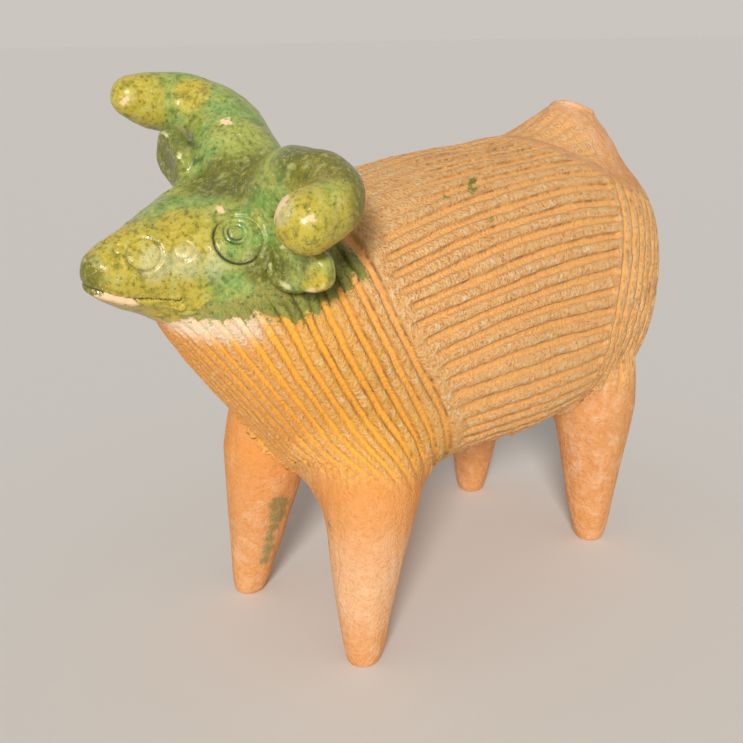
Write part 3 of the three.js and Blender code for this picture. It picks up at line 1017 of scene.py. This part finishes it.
def comb(skin, length, round_length, combed, rough, burr=0):
    """Scores a skin along the strokes, as far as each point is combed, and leaves crumbs and a burr."""
    points = points_of(skin)
    normals = normals_of(skin)
    shoulder = length < shoulder_end
    rump = length > RUMP_START
    strokes = np.where(shoulder, shoulder_stroke(length), round_length / flank_pitch)
    strokes = np.where(rump, (length - RUMP_START) / rump_pitch, strokes)
    strokes += sum(waves(points, size, strength) for size, strength in TOOTH_WOBBLE.items())
    each = np.floor(strokes)
    side = strokes - each - 0.5
    off = np.abs(side) * (1 + waves(points, *WIDTH_WAVES))
    own = np.stack([each * 3.7 + 0.5, each * 1.3 + 20 * rump, points[:, 1] / STROKE_CHANGE], axis=1)
    start = shoulder_end + FLANK_SPREAD * (1 + noise_at(own, 1))
    drawn = np.where(shoulder | rump, 1, ease(length, start, start + FLANK_START)) * combed
    shoulder_depth = mix(CHEST_DEPTH, 1, ease(length, *CHEST_DEEPENS)) * SHOULDER_DEPTH
    depth = np.where(shoulder, shoulder_depth, np.where(rump, RUMP_DEPTH, FLANK_DEPTH))
    depth = depth * (1 + waves(own, *STROKE_WAVES) + waves(points, *PRESS_WAVES))
    groove = (1 - ease(off, GROOVE_FROM, GROOVE_TO)) * drawn
    bowl = mix(BOWL_MIDDLE, BOWL_SIDE, np.clip(off / GROOVE_TO, 0, 1) ** 2)
    # Painted shade: a dark line along each groove's sharp edge, full on the rump and on the flank's upper
    # edges, whose walls face down away from the lamp, fainter on the lower edges and at the chest
    shade_line_strength = np.where(rump | (side * np.sign(points[:, 0]) > 0), 1, LOWER_SHADE_LINE)
    shade_line_strength = np.where(shoulder, mix(CHEST_SHADE_LINE, 1, ease(length, *CHEST_SHADE_LINE_GROWS)), shade_line_strength)
    edge = bell(off - GROOVE_EDGE, SHADE_LINE_WIDTH) * drawn * shade_line_strength
    crumbs = sum(noise_at(points, size) for size in CRUMB_SIZES) * RIDGE_CRUMBS
    crumbs = crumbs * mix(CRUMB_LEAST, 1, ease(noise_at(points, CRUMB_PATCH), *CRUMB_PATCH_EDGE))
    relief = (RIDGE_SWELL * combed + crumbs * rough) * (1 - groove) - groove * depth * bowl
    relief += (0.5 + noise_at(points, BURR_SIZE)) * BURR_HEIGHT * burr
    relief += waves(points, DRAG_SIZE, DRAG_HEIGHT) * (1 - rough) * ease(points[:, 2], *DRAG_ABOVE)
    put(skin, points + normals * relief[:, None])
    note(skin, groove=groove, edge=edge, rough=rough)


points = points_of(barrel)
normals = normals_of(barrel)
even_length = kept(barrel, "along", row_lengths)
even_round = kept(barrel, "around", column_lengths)
loose_length, loose_round = stroke_lengths(loose_points)
length, round_length = stroke_lengths(points)
length += even_length - loose_length
round_length += even_round - loose_round
near_keel = from_keel(even_round)
away = from_spout(points) - spout_foot
nape = np.hypot((points[:, 0] - NAPE.x) / NAPE_WIDTH, (points[:, 1] - NAPE.y) / NAPE_LENGTH)
rough = combed_part(even_length, near_keel) * ease(away, *BY_SPOUT)
rough = rough * ease(gaps_to(head_tree, points, HEAD_LOOK)[0], *BY_HEAD)
combed = rough * np.where(points[:, 2] > NAPE_ABOVE, mix(NAPE_COMBED, 1, ease(nape, *NAPE_EDGE)), 1)
leg_gaps, _ = gaps_to(leg_trees["front_right_leg"], points, LEG_LOOK)
burr = 1 - ease(np.abs(leg_gaps), *LEG_BURR)
belly_lip = bell(near_keel - BELLY_LIP, BELLY_LIP_WIDTH) * ease(even_length, *BELLY_LIP_FROM)
burr = np.maximum(burr, BELLY_LIP_STRENGTH * belly_lip)
rough = np.maximum(rough * chest_grit(even_length), burr)
sink = UNDER_SPOUT_SINK * (1 - ease(away, *UNDER_SPOUT))
put(barrel, drawn_to_spout(points) - normals * sink[:, None])
comb(barrel, length, round_length, combed, rough, burr)
for name, leg in legs.items():
    points = points_of(leg)
    length, round_length = stroke_lengths(points)
    over = points[:, 2] - COMB_ENDS[name] - waves(points, *COMB_END_WAVES)
    combed = combed_part(length, round_length) * ease(over, *COMB_END_FADE)
    comb(leg, length, round_length, combed, combed * chest_grit(length))
points = points_of(spout)
put(spout, drawn_to_spout(points))
length, round_length = stroke_lengths(points)
combed = ease(from_spout(points) - spout_lip, *SPOUT_COMB_LIP)
combed = combed * ease(spout_to_maker.translation.y - points[:, 1], *SPOUT_COMB_FRONT)
combed = combed * (1 - ease(from_spout(points) - spout_foot, *SPOUT_COMB_FOOT))
comb(spout, length, round_length, SPOUT_COMBED * combed, SPOUT_ROUGH * combed)

# The hollow inside the barrel, open to the spout's bore through a hole in its wall
CAVITY_COLUMNS = 48
CAVITY_ROWS = 60
BORE_LAP = 1


def cavity_place(around, along):
    return Vector(barrel_points(TURN * around - TOP, closer_at_ends(along), -WALL))


cavity = formed(CAVITY_COLUMNS, CAVITY_ROWS, cavity_place)
for skin in (barrel, cavity):
    middles = np.array([face.calc_center_median() for face in skin.faces])
    through = from_spout(middles) < spout_bore + BORE_LAP
    opened = [face for face, gone in zip(skin.faces, through) if gone]
    bmesh.ops.delete(skin, geom=opened, context="FACES")
bmesh.ops.reverse_faces(cavity, faces=cavity.faces)
add_to(barrel, cavity)
bmesh.ops.bridge_loops(barrel, edges=[edge for edge in barrel.edges if edge.is_boundary])

# Colour marks of the bare clay: the glaze that ran past the head, the flecks that dripped on the back,
# pale slip under the jaw, the warm orange of the shoulder, the dust that wear left on the near front
# leg and along the back, and the stains on the front legs.
# The glaze's edge on the body: how far back from the brow, and how high
GLAZE_EDGE_BACK = [-30, -23, -14, -8, 0, 10]
GLAZE_EDGE_HIGH = [-11, -9, -5.5, -6.5, -2, 2]
GLAZE_END = 10.5
GLAZE_FLECKS = [
    (20.8, -5.1, 121.0, 1.5), (22.6, -6.4, 120.0, 1.5), (24.2, -7.7, 118.8, 1.3),
    (23.0, -16.1, 118.3, 1.3), (31.6, -9.9, 112.5, 1.1),
]
PALE_UNDER = 1.5
PALE_WIDTH = 9
PALE_FROM = (-30, -26)
PALE_TO = (-17, -9)
STAINS = [
    (-11.0, -47.5, 30.5, 3.4), (-10.6, -47.5, 26.5, 3.2), (-11.8, -48.4, 22.5, 2.2),
    (-12.8, -49.0, 19.0, 1.9), (-14.2, -49.6, 15.5, 2.2), (-15.2, -50.0, 12.0, 2.0),
    (18.6, -57.0, 39.0, 1.2), (16.8, -56.5, 33.0, 0.8),
]
TINT_END = (36, 62)
TINT_ABOVE = (22, 52)
WORN_ABOVE = (0, 26)
WORN_BELOW = (28, 52)
WORN_LEFT = (0, 8)
WORN_BEHIND = (-40, 0)
DUST_LEAST = 0.1
BACK_DUST = 0.5
BACK_ABOVE = (112, 124)


def mark_clay(skin):
    points = points_of(skin)
    x, y, z = points.T
    tree = BVHTree.FromBMesh(skin)
    _, back, high = in_frame(points, maker_to_head).T
    under = np.interp(back, GLAZE_EDGE_BACK, GLAZE_EDGE_HIGH) - high
    pale = (1 - ease(np.abs(under - PALE_UNDER), 0, PALE_WIDTH)) * ease(back, *PALE_FROM)
    _, length, _ = barrel_station(points)
    worn = ease(z, *WORN_ABOVE) * (1 - ease(z, *WORN_BELOW))
    worn = worn * ease(x, *WORN_LEFT) * (1 - ease(y, *WORN_BEHIND))
    note(
        skin,
        glaze=mark(points, GLAZE_FLECKS, tree, np.maximum(under, back - GLAZE_END)),
        pale=pale * (1 - ease(back, *PALE_TO)),
        tint=(1 - ease(length, *TINT_END)) * ease(z, *TINT_ABOVE),
        dusty=np.maximum(mix(DUST_LEAST, 1, worn), BACK_DUST * ease(z, *BACK_ABOVE)),
        stain=mark(points, STAINS, tree),
    )


for skin in [barrel, spout, *legs.values()]:
    mark_clay(skin)

# Low-fired terracotta: matt and open-pored. The grooves are smooth and deep orange, the ridges rough
# with cream crumbs. Each groove has a thin dark line of painted shade along its edges, and the low spots of
# the ridges' grit are painted darker as shade.
CLAY_ROUGHNESS = 0.92
RUN_GLAZE_ROUGHNESS = 0.4
PLAIN_GRIT = 0.3
GROOVE_GRIT = 0.45
COARSE_GRIT = 0.45
GRIT_DEPTH = 1.2
GRIT_STRENGTH = 0.9
NOISE_DETAIL = 4
NOISE_ROUGHNESS = 0.62


def linear(colour):
    """An sRGB hex colour as the linear values that a socket takes."""
    parts = [int(colour[i:i + 2], 16) / 255 for i in (1, 3, 5)]
    return [p / 12.92 if p <= 0.04045 else ((p + 0.055) / 1.055) ** 2.4 for p in parts] + [1]


def new_material(name):
    material = bpy.data.materials.new(name)
    material.use_nodes = True
    return material


def feed(material, node, inputs):
    """Gives a node's sockets their values, or links them to other nodes' outputs."""
    for socket, value in inputs.items():
        if isinstance(value, bpy.types.NodeSocket):
            material.node_tree.links.new(value, node.inputs[socket])
        else:
            node.inputs[socket].default_value = value


def add(material, kind, inputs=None, **settings):
    """Adds a node: settings are its properties, and each input is a value or another node's output."""
    made = material.node_tree.nodes.new(kind)
    for name, value in settings.items():
        setattr(made, name, value)
    feed(material, made, inputs or {})
    return made


def patterns(material, marks, sizes):
    """What a material is drawn from: the skin's marks by name, and noise by the size of its lumps in mm."""
    drawn = {}
    for name in marks:
        drawn[name] = add(material, "ShaderNodeAttribute", attribute_name=name).outputs["Fac"]
    place = add(material, "ShaderNodeTexCoord").outputs["Object"]
    for size in sizes:
        inputs = {"Vector": place, "Scale": 1000 / size}
        inputs |= {"Detail": NOISE_DETAIL, "Roughness": NOISE_ROUGHNESS}
        drawn[size] = add(material, "ShaderNodeTexNoise", inputs).outputs[0]
    return drawn


def stepped(material, drawn, steps):
    """Adds patches to the patterns, each the soft step of a pattern, or of a mark with a ragged edge.

    Each has its pattern or mark, the noise that makes its edge ragged and how much, and the step.
    """
    for name, (source, size, ragged, low, high) in steps.items():
        value = drawn[source]
        if ragged:
            inputs = {0: drawn[size], 1: ragged, 2: value}
            value = add(material, "ShaderNodeMath", inputs, operation="MULTIPLY_ADD").outputs[0]
        inputs = {"Value": value, "From Min": low, "From Max": high}
        step = add(material, "ShaderNodeMapRange", inputs, interpolation_type="SMOOTHSTEP")
        drawn[name] = step.outputs[0]


def layered(material, tone, drawn, layers):
    """Lays colours over a tone, each as strong as the product of its patterns."""
    tone = linear(tone)
    for colour, strength, names in layers:
        for name in names:
            inputs = {0: strength, 1: drawn[name]}
            strength = add(material, "ShaderNodeMath", inputs, operation="MULTIPLY").outputs[0]
        inputs = {0: strength, 6: tone, 7: linear(colour)}
        tone = add(material, "ShaderNodeMix", inputs, data_type="RGBA").outputs[2]
    return tone


clay = new_material("low_fired_terracotta")
clay_marks = ["groove", "edge", "rough", "tint", "dusty", "glaze", "pale", "stain"]
clay_drawn = patterns(clay, clay_marks, (16, 5, 1.4, 0.7))
stepped(clay, clay_drawn, {
    "plain": ("rough", 0, 0, 1, 0),
    "ridge": ("groove", 0, 0, 0.7, 0.1),
    "dark blotch": (16, 0, 0, 0.5, 0.75),
    "dust": ("dusty", 5, 1.4, 0.6, 1.7),
    "fine dust": (1.4, 0, 0, 0.35, 0.7),
    "light blotch": (5, 0, 0, 0.48, 0.7),
    "cream patch": (5, 0, 0, 0.51, 0.64),
    "crumbs": (1.4, 0.7, 0.5, 0.74, 0.86),
    # Painted shade: the low spots of the same noise that raises and lowers the grit's bump
    "painted pit shade": (1.4, 0.7, 0.6, 0.72, 0.58),
    "breaks": (5, 1.4, 0.8, 0.7, 1.15),
    "specks": (0.7, 0, 0, 0.66, 0.74),
    "pale patch": ("pale", 1.4, 1.2, 0.75, 1.7),
    "glaze patch": ("glaze", 1.4, 0.7, 0.80, 0.9),
    "stain patch": ("stain", 1.4, 0.6, 0.72, 0.92),
})
clay_tone = layered(clay, "#FFBD74", clay_drawn, [
    ("#FFBE5A", 1, ["tint", "rough"]),
    ("#E09753", 1, ["plain"]),
    ("#D9935A", 0.3, ["dark blotch"]),
    ("#F3BF90", 0.65, ["plain", "dust"]),
    ("#F7CDA2", 0.22, ["plain", "fine dust"]),
    ("#F8D2AC", 0.3, ["plain", "light blotch"]),
    ("#EC9A48", 0.75, ["plain", "tint"]),
    ("#FBBB6C", 0.75, ["groove"]),
    ("#E29C54", 0.45, ["groove", "fine dust"]),
    ("#FFB93C", 0.9, ["groove", "tint"]),
    # Painted shade in the low spots of the grit, darker where the bump dips
    ("#B06C2C", 0.52, ["ridge", "rough", "painted pit shade"]),
    ("#CF8A4C", 0.35, ["plain", "painted pit shade"]),
    ("#FFDAA0", 0.72, ["ridge", "rough", "crumbs"]),
    ("#FFB446", 0.4, ["rough", "tint"]),
    ("#FFE9BE", 0.7, ["ridge", "rough", "crumbs", "cream patch"]),
    # Painted shade: the thin dark line along the groove edges, broken in places
    ("#7C4A1A", 0.9, ["edge", "breaks"]),
    ("#80502A", 0.4, ["specks"]),
    ("#FBE3C2", 0.85, ["pale patch"]),
    ("#84804C", 0.75, ["stain patch"]),
    ("#858A3C", 0.95, ["glaze patch"]),
    ("#6F9A4C", 0.8, ["glaze patch", "light blotch"]),
    ("#B7A545", 0.6, ["glaze patch", "fine dust"]),
    # Painted shade in the low spots of the grit, under the run glaze
    ("#4A4E22", 0.7, ["glaze patch", "painted pit shade"]),
    # Painted shade: the same dark line along the groove edges, where the glaze ran over them
    ("#3E431C", 0.8, ["glaze patch", "edge"]),
])
gloss_span = {"Value": clay_drawn["glaze patch"], "To Min": CLAY_ROUGHNESS, "To Max": RUN_GLAZE_ROUGHNESS}
clay_gloss = add(clay, "ShaderNodeMapRange", gloss_span).outputs[0]
clay_grit = clay_drawn[0.7]
for name, least, most in (("rough", PLAIN_GRIT, 1), ("groove", 1, GROOVE_GRIT)):
    grit_span = {"Value": clay_drawn[name], "To Min": least, "To Max": most}
    inputs = {0: clay_grit, 1: add(clay, "ShaderNodeMapRange", grit_span).outputs[0]}
    clay_grit = add(clay, "ShaderNodeMath", inputs, operation="MULTIPLY").outputs[0]
inputs = {0: clay_drawn[1.4], 1: COARSE_GRIT, 2: clay_grit}
clay_grit = add(clay, "ShaderNodeMath", inputs, operation="MULTIPLY_ADD").outputs[0]
grit_relief = {"Strength": GRIT_STRENGTH, "Distance": GRIT_DEPTH / 1000, "Height": clay_grit}
clay_bump = add(clay, "ShaderNodeBump", grit_relief).outputs[0]
clay_shader = clay.node_tree.nodes["Principled BSDF"]
feed(clay, clay_shader, {"Base Color": clay_tone, "Roughness": clay_gloss, "Normal": clay_bump})

# The fired pieces, moved from the maker's millimetres to the frame, whose origin follows from the
# front feet: halfway between them, and as far back as they stand.
feet = {mount["name"]: Vector(mount["pos_m"]) for mount in frame["record"]["mounts"]}
between_feet = (feet["front_left_foot"] + feet["front_right_foot"]) / 2
to_frame = Matrix.Translation((between_feet.x, between_feet.y - front_foot_y / 1000, 0))
to_frame = to_frame @ Matrix.Scale(0.001, 4)


def finished(name, skin, material):
    """Makes the piece that stands for a node: its mesh in the frame, shaded smooth, with its material."""
    bmesh.ops.transform(skin, matrix=to_frame, verts=skin.verts)
    for face in skin.faces:
        face.smooth = True
    mesh = meshed(name, skin)
    mesh.materials.append(material)
    piece = shown("clay_" + name, mesh)
    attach(piece, "root")
    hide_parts(name)


finished("body_shell", barrel, clay)
finished("filler_spout", spout, clay)
for name, leg in legs.items():
    finished(name, leg, clay)

# Green lead glaze over the same clay on the head: glossy and mottled, thin and yellow over the warm
# places, dark where it pools, pale where it is worn, and chipped to bare clay. The head, horns and ears
# are cut apart along the seams where each was pressed on, with a hidden lap and a plug behind it.
LAP = 1.8
PLUG = 0.45
HEAD_HEART = Vector((0, -5, 0))
GLAZE_ROUGHNESS = (0.1, 0.42)
GLAZE_WEAR = (0.38, 0.62)
CHIP_ROUGHNESS = 0.9
GLAZE_SPECULAR = 0.45
GLAZE_RIPPLE = 0.3
GLAZE_RIPPLE_STRENGTH = 0.6
glaze = new_material("green_lead_glaze")
glaze_marks = ["stamp", "pool", "worn", "warm", "deep", "bloom", "bare"]
glaze_drawn = patterns(glaze, glaze_marks, (9, 2.5, 1.0, 0.5))
stepped(glaze, glaze_drawn, {
    "warm patch": ("warm", 2.5, 0.9, 0.5, 1.35),
    "deep patch": ("deep", 2.5, 0.9, 0.55, 1.3),
    # Painted highlight: the patches of pale sheen
    "bloom patch": ("bloom", 1.0, 0.9, 0.6, 1.3),
    "green mottle": (9, 0, 0, 0.44, 0.6),
    "light mottle": (2.5, 0, 0, 0.52, 0.68),
    "dark mottle": (2.5, 0, 0, 0.5, 0.34),
    "yellow fleck": (1.0, 0, 0, 0.54, 0.68),
    "dark fleck": (1.0, 0, 0, 0.46, 0.34),
    "dark speck": (0.5, 0, 0, 0.58, 0.68),
    "light speck": (0.5, 0, 0, 0.38, 0.3),
    "worn patch": ("worn", 2.5, 1.2, 0.85, 1.4),
    "ink": ("stamp", 1.0, 0.7, 0.5, 1.2),
    "chip": ("bare", 1.0, 0.4, 0.66, 0.74),
})
glaze_tone = layered(glaze, "#A6AC4E", glaze_drawn, [
    ("#78A354", 0.8, ["green mottle"]),
    ("#C8B03A", 0.95, ["warm patch"]),
    ("#666215", 0.85, ["deep patch"]),
    ("#B9C27A", 0.5, ["light mottle"]),
    ("#5A6422", 0.55, ["dark mottle"]),
    ("#D3BE58", 0.5, ["yellow fleck"]),
    ("#454F1C", 0.66, ["dark fleck"]),
    ("#3C4519", 0.8, ["pool"]),
    # Painted highlight: pale sheen on the muzzle's side and the near horn's tip
    ("#DEDCB6", 0.3, ["bloom patch"]),
    ("#E8DFA4", 0.75, ["worn patch"]),
    ("#2B2F15", 0.7, ["dark speck"]),
    ("#F6EFC8", 0.7, ["light speck"]),
    ("#34361F", 0.95, ["ink"]),
    ("#F4CFA2", 1, ["chip"]),
])
glaze_ripples = glaze_drawn[2.5]
wear_span = {"Value": glaze_ripples}
wear_span |= {"From Min": GLAZE_WEAR[0], "From Max": GLAZE_WEAR[1]}
wear_span |= {"To Min": GLAZE_ROUGHNESS[0], "To Max": GLAZE_ROUGHNESS[1]}
glaze_wear = add(glaze, "ShaderNodeMapRange", wear_span).outputs[0]
chip_span = {"Value": glaze_drawn["chip"], "To Min": glaze_wear, "To Max": CHIP_ROUGHNESS}
glaze_gloss = add(glaze, "ShaderNodeMapRange", chip_span).outputs[0]
ripples = {"Strength": GLAZE_RIPPLE_STRENGTH, "Distance": GLAZE_RIPPLE / 1000, "Height": glaze_ripples}
glaze_bump = add(glaze, "ShaderNodeBump", ripples).outputs[0]
glaze_shader = glaze.node_tree.nodes["Principled BSDF"]
feed(glaze, glaze_shader, {"Base Color": glaze_tone, "Roughness": glaze_gloss, "Normal": glaze_bump})
glaze_shader.inputs["Specular IOR Level"].default_value = GLAZE_SPECULAR

points = points_of(glazed)
normals = normals_of(glazed)
heart = head_to_maker @ HEAD_HEART
for name, own_gaps in seam_gaps.items():
    past = own_gaps - np.min([gap for other, gap in seam_gaps.items() if other != name], axis=0)
    piece = glazed.copy()
    put(piece, points - normals * (SEAM_SINK * np.maximum(0, past) ** 2)[:, None])
    beyond = [vert for vert, over in zip(piece.verts, past) if over > LAP]
    bmesh.ops.delete(piece, geom=beyond, context="VERTS")
    rim = [edge for edge in piece.edges if edge.is_boundary]
    plug = bmesh.ops.extrude_edge_only(piece, edges=rim)["geom"]
    for vert in [part for part in plug if isinstance(part, bmesh.types.BMVert)]:
        vert.co = vert.co.lerp(heart, PLUG)
    bmesh.ops.holes_fill(piece, edges=[edge for edge in piece.edges if edge.is_boundary], sides=0)
    bmesh.ops.recalc_face_normals(piece, faces=piece.faces)
    if name == "head":
        press_into_wall(piece)
    finished(name, piece, glaze)
glazed.free()

# Studio: a plain pale floor under one broad soft lamp beside the camera and an even pale sky.
# The camera stands where the planter is seen from its left front, a little from above.
CAMERA_TURN = 47.56
CAMERA_RISE = 18.5
CAMERA_ROLL = -1
CAMERA_REACH = 258.3
CAMERA_AIM = (15.57, -36.21, 75)
CAMERA_LENS = 48.45
CAMERA_SENSOR = 36
CAMERA_NEAR = 0.01
LAMP_TURN = 7
LAMP_RISE = 25
LAMP_SPREAD = 13
LAMP_STRENGTH = 2.8
LAMP_REACH = 1000
SKY_LIGHT = 0.36
SKY_COLOUR = "#CBC6BF"
FLOOR_SIZE = 60
FLOOR_COLOUR = "#E2DDD5"
FLOOR_ROUGHNESS = 0.9


def looking(turn, rise, roll, reach):
    """Where a camera or a lamp stands that looks at the aim, with its turn, rise and roll in degrees."""
    turn, rise, roll = (math.radians(angle) for angle in (turn, rise, roll))
    back = Vector((math.sin(turn) * math.cos(rise), -math.cos(turn) * math.cos(rise), math.sin(rise)))
    right = Vector((math.cos(turn), math.sin(turn), 0))
    up = back.cross(right)
    rolled_right = right * math.cos(roll) + up * math.sin(roll)
    rolled_up = up * math.cos(roll) - right * math.sin(roll)
    axes = Matrix((rolled_right, rolled_up, back)).transposed().to_4x4()
    return Matrix.Translation(to_frame @ Vector(CAMERA_AIM) + back * reach / 1000) @ axes


camera_data = bpy.data.cameras.new("camera")
camera_data.lens = CAMERA_LENS
camera_data.sensor_width = CAMERA_SENSOR
camera_data.clip_start = CAMERA_NEAR
camera = shown("camera", camera_data)
camera.matrix_world = looking(CAMERA_TURN, CAMERA_RISE, CAMERA_ROLL, CAMERA_REACH)
bpy.context.scene.camera = camera

lamp_data = bpy.data.lights.new("soft_lamp", "SUN")
lamp_data.energy = LAMP_STRENGTH
lamp_data.angle = math.radians(LAMP_SPREAD)
lamp = shown("soft_lamp", lamp_data)
lamp.matrix_world = looking(CAMERA_TURN - LAMP_TURN, LAMP_RISE, 0, LAMP_REACH)

world = bpy.data.worlds.new("studio")
world.use_nodes = True
bpy.context.scene.world = world
sky = world.node_tree.nodes["Background"]
feed(world, sky, {"Color": (1, 1, 1, 1), "Strength": SKY_LIGHT})
ray = add(world, "ShaderNodeLightPath")
backdrop = add(world, "ShaderNodeBackground", {"Color": linear(SKY_COLOUR), "Strength": 1})
seen = ray.outputs["Is Camera Ray"]
for kind in ("Is Glossy Ray", "Is Transmission Ray"):
    seen = add(world, "ShaderNodeMath", {0: seen, 1: ray.outputs[kind]}, operation="MAXIMUM").outputs[0]
pick = add(world, "ShaderNodeMixShader", {0: seen, 1: sky.outputs[0], 2: backdrop.outputs[0]})
feed(world, world.node_tree.nodes["World Output"], {"Surface": pick.outputs[0]})

floor_skin = bmesh.new()
bmesh.ops.create_grid(floor_skin, x_segments=1, y_segments=1, size=FLOOR_SIZE / 2)
floor_mesh = meshed("floor", floor_skin)
card = new_material("pale_card")
card_look = {"Base Color": linear(FLOOR_COLOUR), "Roughness": FLOOR_ROUGHNESS}
feed(card, card.node_tree.nodes["Principled BSDF"], card_look)
floor_mesh.materials.append(card)
shown("floor", floor_mesh)

bpy.context.scene.view_settings.view_transform = "Standard"
